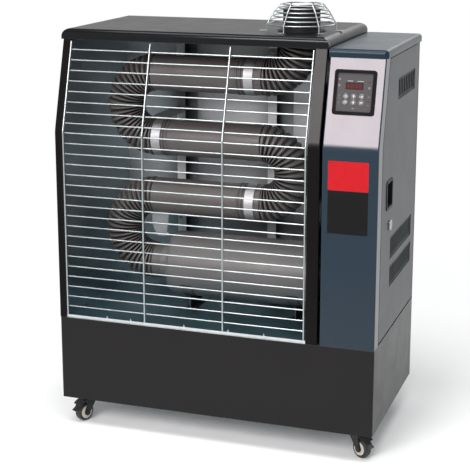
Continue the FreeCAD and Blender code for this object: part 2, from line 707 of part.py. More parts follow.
def flue_elbow():
    x0 = UPPER_JOINT_X + FIT
    rows = straight_sections(x0, ELBOW_X - FIT, UPPER_Z, ())
    rows += bend_sections(ELBOW_X, FLUE_LOW, ELBOW_R, -math.pi / 2, math.pi / 2)
    solid = Part.makeLoft(rows, True, True)
    first = Part.makeLine(point(x0, UPPER_Z), point(ELBOW_X, UPPER_Z))
    half = math.sqrt(0.5) * ELBOW_R
    turn = Part.Arc(point(ELBOW_X, UPPER_Z), point(ELBOW_X + half, FLUE_LOW - half), point(FLUE_X, FLUE_LOW)).toShape()
    return solid.cut(tube_bore(Part.Wire([first, turn])))


def band_clamp(x, z):
    """Steel band with a screw lug at the front."""
    inner = TUBE_R + FIT
    band = ring(inner + CLAMP_T, inner, V(x - CLAMP_W / 2, TUBE_Y, z), V(x + CLAMP_W / 2, TUBE_Y, z))
    rise, width = CLAMP_LUG
    y = TUBE_Y - inner - CLAMP_T / 2
    lug = box(x - CLAMP_W / 2, x + CLAMP_W / 2, y - rise / 2, y, z - width / 2, z + width / 2)
    lug = lug.cut(rod(inner, V(x - CLAMP_W, TUBE_Y, z), V(x + CLAMP_W, TUBE_Y, z)))
    screw_y = y - rise / 2 + CLAMP_SCREW_R / 2
    screw = rod(CLAMP_SCREW_R, V(x, screw_y, z - width), V(x, screw_y, z + width))
    whole = join([band, lug, screw])
    whole.rotate(V(x, TUBE_Y, z), V(1, 0, 0), CLAMP_TURN)
    return whole


def band_clamps():
    places = ((LOWER_JOINT_X, LOWER_Z), (MIDDLE_JOINT_X, MIDDLE_Z), (UPPER_JOINT_X, UPPER_Z))
    return Part.makeCompound([band_clamp(x, z) for x, z in places])


def flue_stub():
    pipe = rod(TUBE_R, V(FLUE_X, TUBE_Y, FLUE_LOW + FIT), V(FLUE_X, TUBE_Y, FLUE_TOP))
    low = HOOD_TOP + FIT
    rim = rod(FLUE_FLANGE_R, V(FLUE_X, TUBE_Y, low), V(FLUE_X, TUBE_Y, low + SHEET))
    bore = rod(FLUE_BORE_R, V(FLUE_X, TUBE_Y, FLUE_LOW), V(FLUE_X, TUBE_Y, FLUE_TOP))
    return join([pipe, rim]).cut(bore)


def guard_rings():
    """Height and radius of each wire ring."""
    return [(HOOD_TOP + rise, TUBE_R + gap) for rise, gap in GUARD_RINGS]


def guard_leg(angle):
    """Upright wire outside the rings, ending in a flat foot on the hood."""
    out = GUARD_WIRE_R * 2 + FIT
    rings = guard_rings()
    low_z, low_r = rings[0]
    knee_z, knee_r = rings[GUARD_KNEE]
    top_z, top_r = rings[-1]
    foot_z = HOOD_TOP + FIT
    length, width = GUARD_FOOT
    foot_r = low_r + out
    points = [V(foot_r, 0, foot_z + SHEET / 2), V(foot_r, 0, low_z), V(knee_r + out, 0, knee_z), V(top_r + out, 0, top_z)]
    pieces = [box(foot_r - GUARD_WIRE_R, foot_r + length, -width / 2, width / 2, foot_z, foot_z + SHEET)]
    for a, b in zip(points, points[1:]):
        pieces.append(rod(GUARD_WIRE_R, a, b))
        pieces.append(Part.makeSphere(GUARD_WIRE_R, b))
    leg = join(pieces)
    leg.rotate(V(0, 0, 0), V(0, 0, 1), angle)
    leg.translate(V(FLUE_X, TUBE_Y, 0))
    return leg


def flue_guard():
    rings = [Part.makeTorus(r, GUARD_WIRE_R, V(FLUE_X, TUBE_Y, z)) for z, r in guard_rings()]
    legs = [guard_leg(GUARD_LEG_TURN + FULL_TURN * i / GUARD_LEGS) for i in range(GUARD_LEGS)]
    return Part.makeCompound(rings + legs)


def bent_wire(x):
    """One upright that follows the front and bends at the knee."""
    corners = front_line(UPRIGHT_R + FIT, BASE_TOP + SILL_H + FIT, GRILLE_TOP)
    low, knee, top = [V(x, y, z) for y, z in corners]
    return join([rod(UPRIGHT_R, low, knee), Part.makeSphere(UPRIGHT_R, knee), rod(UPRIGHT_R, knee, top)])


def cross_wire(y, z):
    return rod(WIRE_R, V(GRILLE_LEFT, y, z), V(GRILLE_RIGHT, y, z))


def guard_grille():
    inset = UPRIGHT_R * 2 + FIT * 1.5 + WIRE_R
    left = GRILLE_LEFT + UPRIGHT_R
    right = GRILLE_RIGHT - UPRIGHT_R
    wires = [bent_wire(left + (right - left) * share) for share in UPRIGHT_SHARES]
    low_count = math.floor((KNEE_Z - WIRE_FIRST_Z) / WIRE_PITCH) + 1
    for i in range(low_count):
        wires.append(cross_wire(FRONT + inset, WIRE_FIRST_Z + i * WIRE_PITCH))
    below = KNEE_Z - WIRE_FIRST_Z - (low_count - 1) * WIRE_PITCH
    high_count = math.floor(((GRILLE_TOP - KNEE_Z) / math.cos(LEAN) + below) / WIRE_PITCH)
    for i in range(high_count):
        along = (i + 1) * WIRE_PITCH - below
        y = FRONT + along * math.sin(LEAN) + inset * math.cos(LEAN)
        z = KNEE_Z + along * math.cos(LEAN) - inset * math.sin(LEAN)
        wires.append(cross_wire(y, z))
    return Part.makeCompound(wires)


def shifted(points, step):
    return [(y + step, z) for y, z in points]


def front_strip(z0, z1, start, end):
    """Band that follows the front from one depth to another, as y and z."""
    line = front_line(0, z0, z1)
    return shifted(line, start) + shifted(line, end)[::-1]


def panel_opening(grow, z0, z1, radius):
    """Rounded opening inside the bezel, drawn flat."""
    x = (BEZEL_X[0] + BEZEL_RIM - grow, BEZEL_X[1] - BEZEL_RIM + grow)
    v = (BEZEL_V[0] + BEZEL_RIM - grow, BEZEL_V[1] - BEZEL_RIM + grow)
    return rounded_plate(x, v, (z0, z1), radius)


def control_front():
    """Folded front of the control cabinet with two returns and the stop that the lock cam turns behind."""
    low = BASE_TOP + FIT
    top = CTRL_SEAM - FIT
    solid = bend_knee(side_prism(front_strip(low, top, 0, CTRL_RETURN), CTRL_LEFT, HALF_W), 0)
    solid = round_edges(solid, FOLD_R, front_edge_at(HALF_W))
    solid = round_edges(solid, FOLD_R, front_edge_at(CTRL_LEFT))
    inner = front_line(SHEET, low, top)
    hollow = bend_knee(side_prism(inner + shifted(inner, CTRL_RETURN)[::-1], CTRL_LEFT + SHEET, HALF_W - SHEET), SHEET)
    trim = side_prism(front_strip(low, top, CTRL_LEFT_RETURN, CTRL_RETURN), CTRL_LEFT, CTRL_LEFT + SHEET)
    opening = on_lean(panel_opening(SHEET, -BEZEL_OUT, BEZEL_OUT, PANEL_R))
    y = FRONT + CTRL_RETURN
    z0 = LOCK_Z - STOP_H / 2
    z1 = LOCK_Z + STOP_H / 2
    joggle = box(STOP_X - SHEET, HALF_W - SHEET / 2, y - SHEET, y, z0, z1)
    lip = box(STOP_X - SHEET, STOP_X, y - SHEET, y + STOP_REACH, z0, z1)
    return join([cut_all(solid, [hollow, trim, opening]), joggle, lip])


def cover_form(inset):
    y0 = front_line(0, BASE_TOP, CTRL_SEAM)[-1][0] - CTRL_COVER_LIP
    block = box(CTRL_COVER[0] + inset, CTRL_COVER[1] - inset, y0 + inset, REAR - inset, CTRL_SEAM, CTRL_TOP - inset)

    def chosen(edge):
        middle = edge.CenterOfMass
        top_front = near(middle.z, CTRL_TOP - inset) and near(middle.y, y0 + inset)
        top_right = near(middle.z, CTRL_TOP - inset) and near(middle.x, CTRL_COVER[1] - inset)
        corner = near(middle.y, y0 + inset) and near(middle.x, CTRL_COVER[1] - inset)
        return top_front or top_right or corner
    return round_edges(block, CTRL_NOSE_R - inset, chosen)


def control_top():
    return cover_form(0).cut(cover_form(SHEET))


def display_bezel():
    frame = rounded_plate(BEZEL_X, BEZEL_V, (FIT, BEZEL_OUT), BEZEL_R)
    return on_lean(frame.cut(panel_opening(0, 0, BEZEL_OUT, PANEL_R)))


def display_panel():
    low = PANEL_OUT - PANEL_T
    plate = panel_opening(-FIT, low, PANEL_OUT, PANEL_R - FIT)
    holes = [box(WINDOW_X[0], WINDOW_X[1], WINDOW_V[0], WINDOW_V[1], low, PANEL_OUT)]
    for v in KEY_V:
        for x in KEY_X:
            holes.append(rod(KEY_R + KEY_PLAY, V(x, v, low), V(x, v, PANEL_OUT)))
    return on_lean(cut_all(plate, holes))


def display_window():
    top = PANEL_OUT - FIT
    return on_lean(box(WINDOW_X[0] + FIT, WINDOW_X[1] - FIT, WINDOW_V[0] + FIT, WINDOW_V[1] - FIT, top - WINDOW_T, top))


def panel_key(x, v):
    """Round key with a rim behind the panel that keeps it in."""
    back = PANEL_OUT - PANEL_T - KEY_PLAY
    cap = rod(KEY_R, V(x, v, back), V(x, v, PANEL_OUT + KEY_OUT))
    cap = round_edges(cap, KEY_PLAY, lambda e: near(e.CenterOfMass.z, PANEL_OUT + KEY_OUT))
    rim = rod(KEY_RIM_R, V(x, v, back - KEY_RIM_T), V(x, v, back))
    return on_lean(join([cap, rim]))


def control_board():
    """Circuit board on four posts, with a switch under each key and one chip."""
    back = PANEL_OUT - PANEL_T
    low = back - BOARD_DROP
    inset = BEZEL_RIM * 2
    x = (BEZEL_X[0] + inset, BEZEL_X[1] - inset)
    v = (BEZEL_V[0] + inset, BEZEL_V[1] - inset)
    pieces = [box(x[0], x[1], v[0], v[1], low - BOARD_T, low)]
    for px in (x[0] + BOARD_POST_R, x[1] - BOARD_POST_R):
        for pv in (v[0] + BOARD_POST_R, v[1] - BOARD_POST_R):
            pieces.append(rod(BOARD_POST_R, V(px, pv, low - BOARD_T / 2), V(px, pv, back - FIT)))
    switch_top = back - KEY_PLAY - KEY_RIM_T - KEY_OUT
    for kv in KEY_V:
        for kx in KEY_X:
            pieces.append(rod(BOARD_POST_R, V(kx, kv, low - BOARD_T / 2), V(kx, kv, switch_top)))
    middle = sum(x) / 2
    width, height, depth = BOARD_CHIP
    chip_v = sum(WINDOW_V) / 2
    pieces.append(box(middle - width / 2, middle + width / 2, chip_v - height / 2, chip_v + height / 2,
                      low - BOARD_T - depth, low - BOARD_T / 2))
    return on_lean(join(pieces))


def side_door():
    """Flanged service door, hung on two pins at the rear."""
    z0, z1 = DOOR_Z
    outer = shifted(front_line(0, z0, z1), DOOR_INSET) + [(DOOR_REAR, z1), (DOOR_REAR, z0)]
    inner_line = front_line(0, z0 + SHEET, z1 - SHEET)
    rear = DOOR_REAR - SHEET
    inner = shifted(inner_line, DOOR_INSET + SHEET) + [(rear, z1 - SHEET), (rear, z0 + SHEET)]
    deep = HALF_W - FLANGE
    solid = side_prism(outer, deep, HALF_W)
    tools = [side_prism(inner, deep, HALF_W - SHEET)]
    tools.append(side_prism(front_strip(z0, z1, DOOR_INSET, DOOR_INSET + FLANGE), deep, HALF_W - DOOR_FRONT_LIP))
    tools.append(rod(PIN_R + PIN_PLAY, V(HINGE_X, HINGE_Y, z0), V(HINGE_X, HINGE_Y, z1)))
    for y0, y1, low, high in VENTS:
        tools.append(box(HALF_W - SHEET, HALF_W, y0, y1, low, high))
    tools.append(pull_block(FIT, HALF_W - SHEET, HALF_W))
    tools.append(rod(LOCK_R + PIN_PLAY, V(HALF_W - SHEET, LOCK_Y, LOCK_Z), V(HALF_W, LOCK_Y, LOCK_Z)))
    return cut_all(solid, tools)


def door_vents():
    inserts = []
    x1 = HALF_W - SHEET - FIT
    x0 = x1 - SHEET
    for (y0, y1, z0, z1), count in zip(VENTS, VENT_COUNTS):
        plate = box(x0, x1, y0 - VENT_FRAME, y1 + VENT_FRAME, z0 - VENT_FRAME, z1 + VENT_FRAME)
        pitch = (y1 - y0 - 2 * VENT_MARGIN) / count
        slots = []
        for i in range(count):
            y = y0 + VENT_MARGIN + (i + (1 - VENT_SLOT_SHARE) / 2) * pitch
            slots.append(box(x0, x1, y, y + pitch * VENT_SLOT_SHARE, z0 + VENT_MARGIN, z1 - VENT_MARGIN))
        inserts.append(cut_all(plate, slots))
    return Part.makeCompound(inserts)


def pull_block(grow, x0, x1):
    """Rounded block across the door skin at the pull."""
    block = box(x0, x1, PULL_Y[0] - grow, PULL_Y[1] + grow, PULL_Z[0] - grow, PULL_Z[1] + grow)
    return round_edges(block, PULL_R + grow, lambda e: near(e.Vertexes[0].Y, e.Vertexes[-1].Y)
                       and near(e.Vertexes[0].Z, e.Vertexes[-1].Z))


def door_pull():
    face = HALF_W + PULL_RIM_T
    low = HALF_W - PULL_DEPTH
    rim = pull_block(PULL_RIM, HALF_W, face)
    return join([pull_block(0, low, face), rim]).cut(pull_block(-PULL_WALL, low + PULL_WALL, face))


def door_lock():
    """Round lock with a key slot outside and a cam inside; the cam stands up when open."""
    head_x = HALF_W + RUN_GAP
    head = rod(LOCK_HEAD_R, V(head_x, LOCK_Y, LOCK_Z), V(head_x + LOCK_HEAD_T, LOCK_Y, LOCK_Z))
    head = round_edges(head, SHEET, lambda e: near(e.CenterOfMass.x, head_x + LOCK_HEAD_T))
    barrel = rod(LOCK_R, V(LOCK_CAM_X - SHEET, LOCK_Y, LOCK_Z), V(head_x + SHEET, LOCK_Y, LOCK_Z))
    reach, width, thick = LOCK_CAM
    cam = box(LOCK_CAM_X - thick, LOCK_CAM_X, LOCK_Y - width / 2, LOCK_Y + width / 2, LOCK_Z - width / 2, LOCK_Z + reach)
    slot_w, slot_h, slot_d = LOCK_SLOT
    top = head_x + LOCK_HEAD_T
    slot = box(top - slot_d, top, LOCK_Y - slot_w / 2, LOCK_Y + slot_w / 2, LOCK_Z - slot_h / 2, LOCK_Z + slot_h / 2)
    return join([head, barrel, cam]).cut(slot)


def hinge_pins():
    z0, z1 = DOOR_Z
    low = BASE_TOP + FIT
    foot = rod(PIN_FOOT_R, V(HINGE_X, HINGE_Y, low), V(HINGE_X, HINGE_Y, low + SHEET))
    pin = rod(PIN_R, V(HINGE_X, HINGE_Y, low), V(HINGE_X, HINGE_Y, z0 + PIN_REACH))
    width, thick = PIN_ARM
    arm_z = z1 + RUN_GAP
    arm = box(HINGE_X - width / 2, HALF_W - SHEET - FIT, HINGE_Y - width / 2, REAR - SHEET - FIT, arm_z, arm_z + thick)
    upper = rod(PIN_R, V(HINGE_X, HINGE_Y, z1 - PIN_REACH), V(HINGE_X, HINGE_Y, arm_z + thick))
    return Part.makeCompound([join([foot, pin]), join([arm, upper])])


def axis_point(x):
    """Point on the burner axis."""
    return V(x, TUBE_Y, DRUM_Z)


def burner_housing():
    x0, x1 = BURNER_X
    shell = rod(BURNER_R, axis_point(x0), axis_point(x1))
    tools = [rod(BURNER_R - BURNER_T, axis_point(x0 + BURNER_T), axis_point(x1 - BURNER_T))]
    tools.append(rod(BLAST_R - BLAST_T, axis_point(x0), axis_point(x0 + BURNER_T)))
    tools.append(rod(SHAFT_R + RUN_GAP, axis_point(x1 - BURNER_T), axis_point(x1)))
    for i in range(INLETS):
        turn = math.radians(FULL_TURN) * i / INLETS
        offset = V(0, INLET_RING * math.cos(turn), INLET_RING * math.sin(turn))
        tools.append(rod(INLET_R, axis_point(x1 - BURNER_T) + offset, axis_point(x1) + offset))
    middle = (x0 + x1) / 2
    low = BASE_TOP
    web = box(middle - STAND_T / 2, middle + STAND_T / 2, TUBE_Y - STAND_W / 2, TUBE_Y + STAND_W / 2, low, DRUM_Z)
    foot = box(x0 + BURNER_T, x1 - BURNER_T, TUBE_Y - STAND_W / 2, TUBE_Y + STAND_W / 2, low, low + STAND_T)
    return cut_all(join([shell, web, foot]), tools)


def blast_tube():
    tube = rod(BLAST_R, axis_point(BLAST_LEFT), axis_point(BURNER_X[0] - FIT))
    rim = rod(BLAST_RIM_R, axis_point(PART_X + FIT), axis_point(PART_X + FIT + BURNER_T))
    bore = rod(BLAST_R - BLAST_T, axis_point(BLAST_LEFT), axis_point(BURNER_X[0]))
    return join([tube, rim]).cut(bore)


def blower_motor():
    x0 = BURNER_X[1] + FIT
    body = rod(MOTOR_R, axis_point(x0), axis_point(MOTOR_RIGHT))
    body = round_edges(body, BURNER_T, lambda e: near(e.CenterOfMass.x, MOTOR_RIGHT))
    return body.cut(rod(SHAFT_R + SHAFT_PLAY, axis_point(x0), axis_point(x0 + SHAFT_REACH + FIT)))


def blower_wheel():
    """Squirrel cage wheel with its shaft."""
    x0, x1 = WHEEL_X
    pieces = [rod(FAN_R, axis_point(x1 - FAN_T), axis_point(x1))]
    pieces.append(ring(FAN_R, FAN_R - BLADE_W, axis_point(x0), axis_point(x0 + FAN_T)))
    pieces.append(rod(FAN_HUB_R, axis_point(x1 - FAN_HUB_R), axis_point(x1)))
    pieces.append(rod(SHAFT_R, axis_point(x1 - FAN_HUB_R), axis_point(BURNER_X[1] + SHAFT_REACH)))
    for i in range(BLADES):
        blade = box(x0 + FAN_T / 2, x1 - FAN_T / 2, FAN_R - BLADE_W + FAN_T, FAN_R - FAN_T, -BLADE_T / 2, BLADE_T / 2)
        blade.rotate(V(0, 0, 0), V(1, 0, 0), FULL_TURN * i / BLADES)
        blade.translate(V(0, TUBE_Y, DRUM_Z))
        pieces.append(blade)
    return join(pieces)


def ignition_transformer():
    x0, x1 = TRANSFORMER_X
    y0, y1 = TRANSFORMER_Y
    top = BASE_TOP + TRANSFORMER_H
    body = rounded_plate(TRANSFORMER_X, TRANSFORMER_Y, (BASE_TOP, top), TRANSFORMER_R)
    posts = []
    for share in (1, 3):
        y = y0 + (y1 - y0) * share / 4
        posts.append(rod(TERMINAL_R, V((x0 + x1) / 2, y, top - TERMINAL_R), V((x0 + x1) / 2, y, top + TERMINAL_H)))
    return join([body] + posts)


def fuel_pump():
    body = rod(PUMP_R, V(PUMP_X, PUMP_Y, BASE_TOP), V(PUMP_X, PUMP_Y, PUMP_TOP))
    foot = rod(PUMP_FOOT_R, V(PUMP_X, PUMP_Y, BASE_TOP), V(PUMP_X, PUMP_Y, BASE_TOP + PUMP_FOOT_T))
    return join([body, foot])


def fuel_filter():
    top = V(FILTER_X, FILTER_Y, FILTER_TOP)
    cup = rod(FILTER_R, V(FILTER_X, FILTER_Y, BASE_TOP + FIT), top)
    return round_edges(cup, TERMINAL_R / 2, lambda e: near(e.CenterOfMass.z, FILTER_TOP))


def bent_pipe(corners, bend):
    """Solid pipe along straight runs joined by tangent arcs."""
    edges = []
    start = corners[0]
    for before, corner, after in zip(corners, corners[1:], corners[2:]):
        back = (before - corner).normalize()
        on = (after - corner).normalize()
        half = back.getAngle(on) / 2
        leg = bend / math.tan(half)
        middle = corner + (back + on).normalize() * (bend / math.sin(half) - bend)
        edges.append(Part.makeLine(start, corner + back * leg))
        edges.append(Part.Arc(corner + back * leg, middle, corner + on * leg).toShape())
        start = corner + on * leg
    edges.append(Part.makeLine(start, corners[-1]))
    mouth = Part.Circle(corners[0], corners[1] - corners[0], PIPE_R)
    return Part.Wire(edges).makePipeShell([Part.Wire(mouth.toShape())], True, False)


def fuel_pipes():
    """Suction line from the tank, line from filter to pump, and feed to the burner."""
    suction = rod(PIPE_R, V(FILTER_X, FILTER_Y, BASE_BOTTOM + TANK_R * 2), V(FILTER_X, FILTER_Y, BASE_TOP))
    high = FILTER_TOP + PIPE_RISE + PIPE_BEND
    corners = [V(FILTER_X, FILTER_Y, FILTER_TOP + FIT), V(FILTER_X, FILTER_Y, high),
               V(PUMP_X, PUMP_Y, high), V(PUMP_X, PUMP_Y, PUMP_TOP + FIT)]
    z = PUMP_TOP - PIPE_BEND
    drop = DRUM_Z - z - PIPE_R
    end_y = TUBE_Y + math.sqrt(BURNER_R ** 2 - drop ** 2) + FIT
    reach = PUMP_Y - PUMP_R - FIT
    feed = rod(PIPE_R, V(PUMP_X, reach, z), V(PUMP_X, end_y, z))
    return Part.makeCompound([suction, bent_pipe(corners, PIPE_BEND), feed])


def filler_cap():
    inner = NECK_R + RUN_GAP
    top = NECK_TOP + RUN_GAP
    shell = rod(CAP_R, V(NECK_X, NECK_Y, NECK_TOP - CAP_SKIRT), V(NECK_X, NECK_Y, top + CAP_T))
    well = rod(inner, V(NECK_X, NECK_Y, NECK_TOP - CAP_SKIRT), V(NECK_X, NECK_Y, top))
    length, width, rise = CAP_GRIP
    grip = box(NECK_X - length / 2, NECK_X + length / 2, NECK_Y - width / 2, NECK_Y + width / 2,
               top + CAP_T / 2, top + CAP_T + rise)
    return join([shell.cut(well), grip])


def placed(shape, side_x, side_y, heading):
    """Turn a caster piece drawn at the origin and move it under its corner."""
    shape.rotate(V(0, 0, 0), V(0, 0, 1), heading)
    shape.translate(V(side_x * CASTER_X, side_y * CASTER_Y, 0))
    return shape


def fork_top():
    return BASE_BOTTOM - FIT - CASTER_PLATE_T - RACE_T - RUN_GAP


def caster_plate():
    """Top plate with its bearing race and headed king pin."""
    top = BASE_BOTTOM - FIT
    half = CASTER_PLATE / 2
    plate = rounded_plate((-half, half), (-half, half), (top - CASTER_PLATE_T, top), TERMINAL_R / 2)
    race_z = top - CASTER_PLATE_T - RACE_T
    race = rod(RACE_R, V(0, 0, race_z), V(0, 0, top - CASTER_PLATE_T / 2))
    head_top = fork_top() - FORK_T - RUN_GAP
    pin = rod(KING_R, V(0, 0, head_top - KING_HEAD_T / 2), V(0, 0, race_z + RACE_T / 2))
    head = rod(KING_HEAD_R, V(0, 0, head_top - KING_HEAD_T), V(0, 0, head_top))
    return join([plate, race, pin, head])


def wheel_arc(radius, sweep, half_width):
    """Bent strip that follows the wheel over a range of angles."""
    def at(r, degrees):
        turn = math.radians(degrees)
        return V(CASTER_TRAIL + r * math.cos(turn), -half_width, WHEEL_R + r * math.sin(turn))
    low, high = sweep
    middle = (low + high) / 2
    outer = radius + PEDAL_T
    edges = [Part.Arc(at(radius, low), at(radius, middle), at(radius, high)).toShape(),
             Part.makeLine(at(radius, high), at(outer, high)),
             Part.Arc(at(outer, high), at(outer, middle), at(outer, low)).toShape(),
             Part.makeLine(at(outer, low), at(radius, low))]
    return Part.Face(Part.Wire(edges)).extrude(V(0, half_width * 2, 0))


def caster_fork(braked):
    """Crown, two legs and a visor over the wheel, with the axle as a separate pin."""
    top = fork_top()
    inner = FORK_INNER / 2
    outer = inner + FORK_T
    crown = rod(FORK_CROWN_R, V(0, 0, top - FORK_T), V(0, 0, top))
    half = FORK_LEG_W / 2
    outline = [(-half * 1.7, top), (half * 2, top), (CASTER_TRAIL + half, WHEEL_R), (CASTER_TRAIL - half, WHEEL_R)]
    legs = []
    for y in (-outer, inner):
        leg = prism([V(x, y, z) for x, z in outline], V(0, FORK_T, 0))
        eye = rod(half, V(CASTER_TRAIL, y, WHEEL_R), V(CASTER_TRAIL, y + FORK_T, WHEEL_R))
        legs.append(leg.fuse(eye))
    hub = [V(CASTER_TRAIL, y, WHEEL_R) for y in (-outer, outer)]
    tools = [rod(AXLE_R + AXLE_PLAY, hub[0], hub[1])]
    tools.append(rod(KING_R + KING_PLAY, V(0, 0, top - FORK_T), V(0, 0, top)))
    if braked:
        x, z = PEDAL_PIN_AT
        tools.append(rod(PEDAL_PIN_R + PIN_PLAY, V(x, -outer, z), V(x, outer, z)))
    tip = V(0, AXLE_HEAD_T + FIT, 0)
    visor = wheel_arc(WHEEL_R + VISOR_GAP, VISOR_SWEEP, outer)
    axle = join([rod(AXLE_R, hub[0] - tip, hub[1] + tip),
                 rod(AXLE_HEAD_R, hub[0] - tip, hub[0] - V(0, FIT, 0)),
                 rod(AXLE_HEAD_R, hub[1] + V(0, FIT, 0), hub[1] + tip)])
    return Part.makeCompound([cut_all(join([crown, visor] + legs), tools), axle])


def caster_wheel():
    half = V(0, WHEEL_W / 2, 0)
    hub = V(CASTER_TRAIL, 0, WHEEL_R)
    tyre = round_edges(rod(WHEEL_R, hub - half, hub + half), WHEEL_ROUND, lambda e: near(abs(e.CenterOfMass.y), WHEEL_W / 2))
    return tyre.cut(rod(AXLE_R + AXLE_PLAY, hub - half, hub + half))


def brake_pedal():
    """Bent brake shoe over the wheel with a foot tab, on a cross pin through both legs."""
    x, z = PEDAL_PIN_AT
    half = PEDAL_W / 2
    outer = FORK_INNER / 2 + FORK_T
    pin = rod(PEDAL_PIN_R, V(x, -outer, z), V(x, outer, z))
    radius = WHEEL_R + PEDAL_GAP
    shoe = wheel_arc(radius, PEDAL_SWEEP, half)
    turn = math.radians(PEDAL_SWEEP[0])
    root_x = CASTER_TRAIL + radius * math.cos(turn)
    root_z = WHEEL_R + radius * math.sin(turn)
    tip_x, tip_z = PEDAL_TIP
    outline = [(root_x, root_z), (tip_x, tip_z), (tip_x, tip_z + PEDAL_T), (root_x + PEDAL_T / 2, root_z + PEDAL_T)]
    tab = prism([V(px, -half, pz) for px, pz in outline], V(0, PEDAL_W, 0))
    return join([shoe, tab, pin])


def save_cabinet():
    save("base_wrap", base_wrap())
    save("base_rear_panel", base_rear_panel())
    save("base_pan", base_pan())
    save("fuel_tank", fuel_tank())
    save("deck_plate", deck_plate())
    save("left_panel", left_panel())
    save("partition_panel", partition_panel())
    save("rear_panel", rear_panel())
    save("hood", hood())
    save("guard_grille", guard_grille())


def save_chamber():
    save("side_reflectors", side_reflectors())
    save("rear_reflector", rear_reflector())
    save("floor_reflector", floor_reflector())
    save("tube_supports", tube_supports())
    save("combustion_drum", combustion_drum())
    save("lower_exhaust_run", u_run(NECK_JOINT_X - FIT, LOWER_JOINT_X - FIT, DRUM_Z, LOWER_Z,
                                    LOWER_BEND_X, -1, LOWER_BEADS))
    save("middle_exhaust_run", u_run(LOWER_JOINT_X, MIDDLE_JOINT_X + FIT, LOWER_Z, MIDDLE_Z,
                                     RIGHT_BEND_X, 1, MIDDLE_BEADS))
    save("upper_exhaust_run", u_run(MIDDLE_JOINT_X, UPPER_JOINT_X, MIDDLE_Z, UPPER_Z,
                                    UPPER_BEND_X, -1, UPPER_BEADS))
    save("flue_elbow", flue_elbow())
    save("band_clamps", band_clamps())
    save("flue_stub", flue_stub())
    save("flue_guard", flue_guard())


def save_controls():
    save("control_front", control_front())
    save("control_top", control_top())
    save("display_bezel", display_bezel())
    save("display_panel", display_panel())
    save("display_window", display_window())
    save("control_board", control_board())
    for v, names in zip(KEY_V, KEY_NAMES):
        for x, name in zip(KEY_X, names):
            save(name, panel_key(x, v))
    save("side_door", side_door())
    save("door_vents", door_vents())
    save("door_pull", door_pull())
    save("door_lock", door_lock())
    save("hinge_pins", hinge_pins())


def save_burner():
    save("burner_housing", burner_housing())
    save("blast_tube", blast_tube())
    save("blower_motor", blower_motor())
    save("blower_wheel", blower_wheel())
    save("ignition_transformer", ignition_transformer())
    save("fuel_pump", fuel_pump())
    save("fuel_filter", fuel_filter())
    save("fuel_pipes", fuel_pipes())
    save("filler_cap", filler_cap())


def save_casters():
    plates = []
    for corner, side_x, side_y, heading in CASTERS:
        plates.append(placed(caster_plate(), side_x, side_y, 0))
        braked = corner in BRAKED
        save("fork_" + corner, placed(caster_fork(braked), side_x, side_y, heading))
        save("wheel_" + corner, placed(caster_wheel(), side_x, side_y, heading))
        if braked:
            save("pedal_" + corner, placed(brake_pedal(), side_x, side_y, heading))
    save("caster_plates", Part.makeCompound(plates))


os.makedirs("parts", exist_ok=True)
save_cabinet()
save_chamber()
save_controls()
save_burner()
save_casters()
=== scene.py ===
import math

import bmesh
import bpy
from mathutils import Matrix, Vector


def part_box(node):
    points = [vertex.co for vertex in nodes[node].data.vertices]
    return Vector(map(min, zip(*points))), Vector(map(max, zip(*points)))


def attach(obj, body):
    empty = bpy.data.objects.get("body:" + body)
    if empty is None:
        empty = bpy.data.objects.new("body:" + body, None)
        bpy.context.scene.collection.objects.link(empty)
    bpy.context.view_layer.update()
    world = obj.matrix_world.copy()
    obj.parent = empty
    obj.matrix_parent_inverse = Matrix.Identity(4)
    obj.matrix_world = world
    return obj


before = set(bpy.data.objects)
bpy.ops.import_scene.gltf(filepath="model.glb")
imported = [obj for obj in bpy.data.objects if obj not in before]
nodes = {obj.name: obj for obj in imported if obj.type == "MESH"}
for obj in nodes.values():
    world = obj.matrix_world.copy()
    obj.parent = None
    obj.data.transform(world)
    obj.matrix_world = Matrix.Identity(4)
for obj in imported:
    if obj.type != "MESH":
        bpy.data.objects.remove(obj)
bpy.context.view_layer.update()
scene = bpy.context.scene
scene.view_settings.view_transform = "Standard"

# Sizes repeated from the part's source, in mm
MM = 0.001
HALF_W = 361.0
FRONT = -200.0
BASE_TOP = 255.0
KNEE_Z = 680.0
LEAN = math.radians(16.13)
HOOD_FRONT = -145.0
HOOD_NOSE_R = 11.0
TUBE_Y = -25.0
POST_Y = 130.0
REFLECT_Y = 160.0
CORNERS = ("front_left", "front_right", "rear_left", "rear_right")
# Rest headings of the casters, in degrees
HEADINGS = {"front_left": 245.0, "front_right": -32.0, "rear_left": 228.0, "rear_right": 200.0}
# Each key's place on the leaning front: across, and up from the knee
KEY_PLACES = {"key_power": (283.2, 108.2), "key_up": (299.8, 108.2), "key_mode": (316.4, 108.2),
              "key_timer": (283.2, 95.7), "key_down": (299.8, 95.7), "key_set": (316.4, 95.7)}

# Node values shared by the materials
NOISE_LOW = 0.3
NOISE_HIGH = 0.7
TONE_DETAIL = 5.0
GLOSS_DETAIL = 4.0
GLOSS_PER_TONE = 3
GRAIN_DETAIL = 2.0
GRAIN_DEPTH = 0.0004
COAT_ROUGH = 0.08
EDGE_TURN = (0.7, 0.97)
EDGE_SAMPLES = 4
HOLLOW_SAMPLES = 16
PATCH_FLECK = 40.0
PATCH_TONE = 0.06


# Material helpers
def new_material(name):
    material = bpy.data.materials.new(name)
    material.use_nodes = True
    tree = material.node_tree
    return material, tree, tree.nodes["Principled BSDF"]


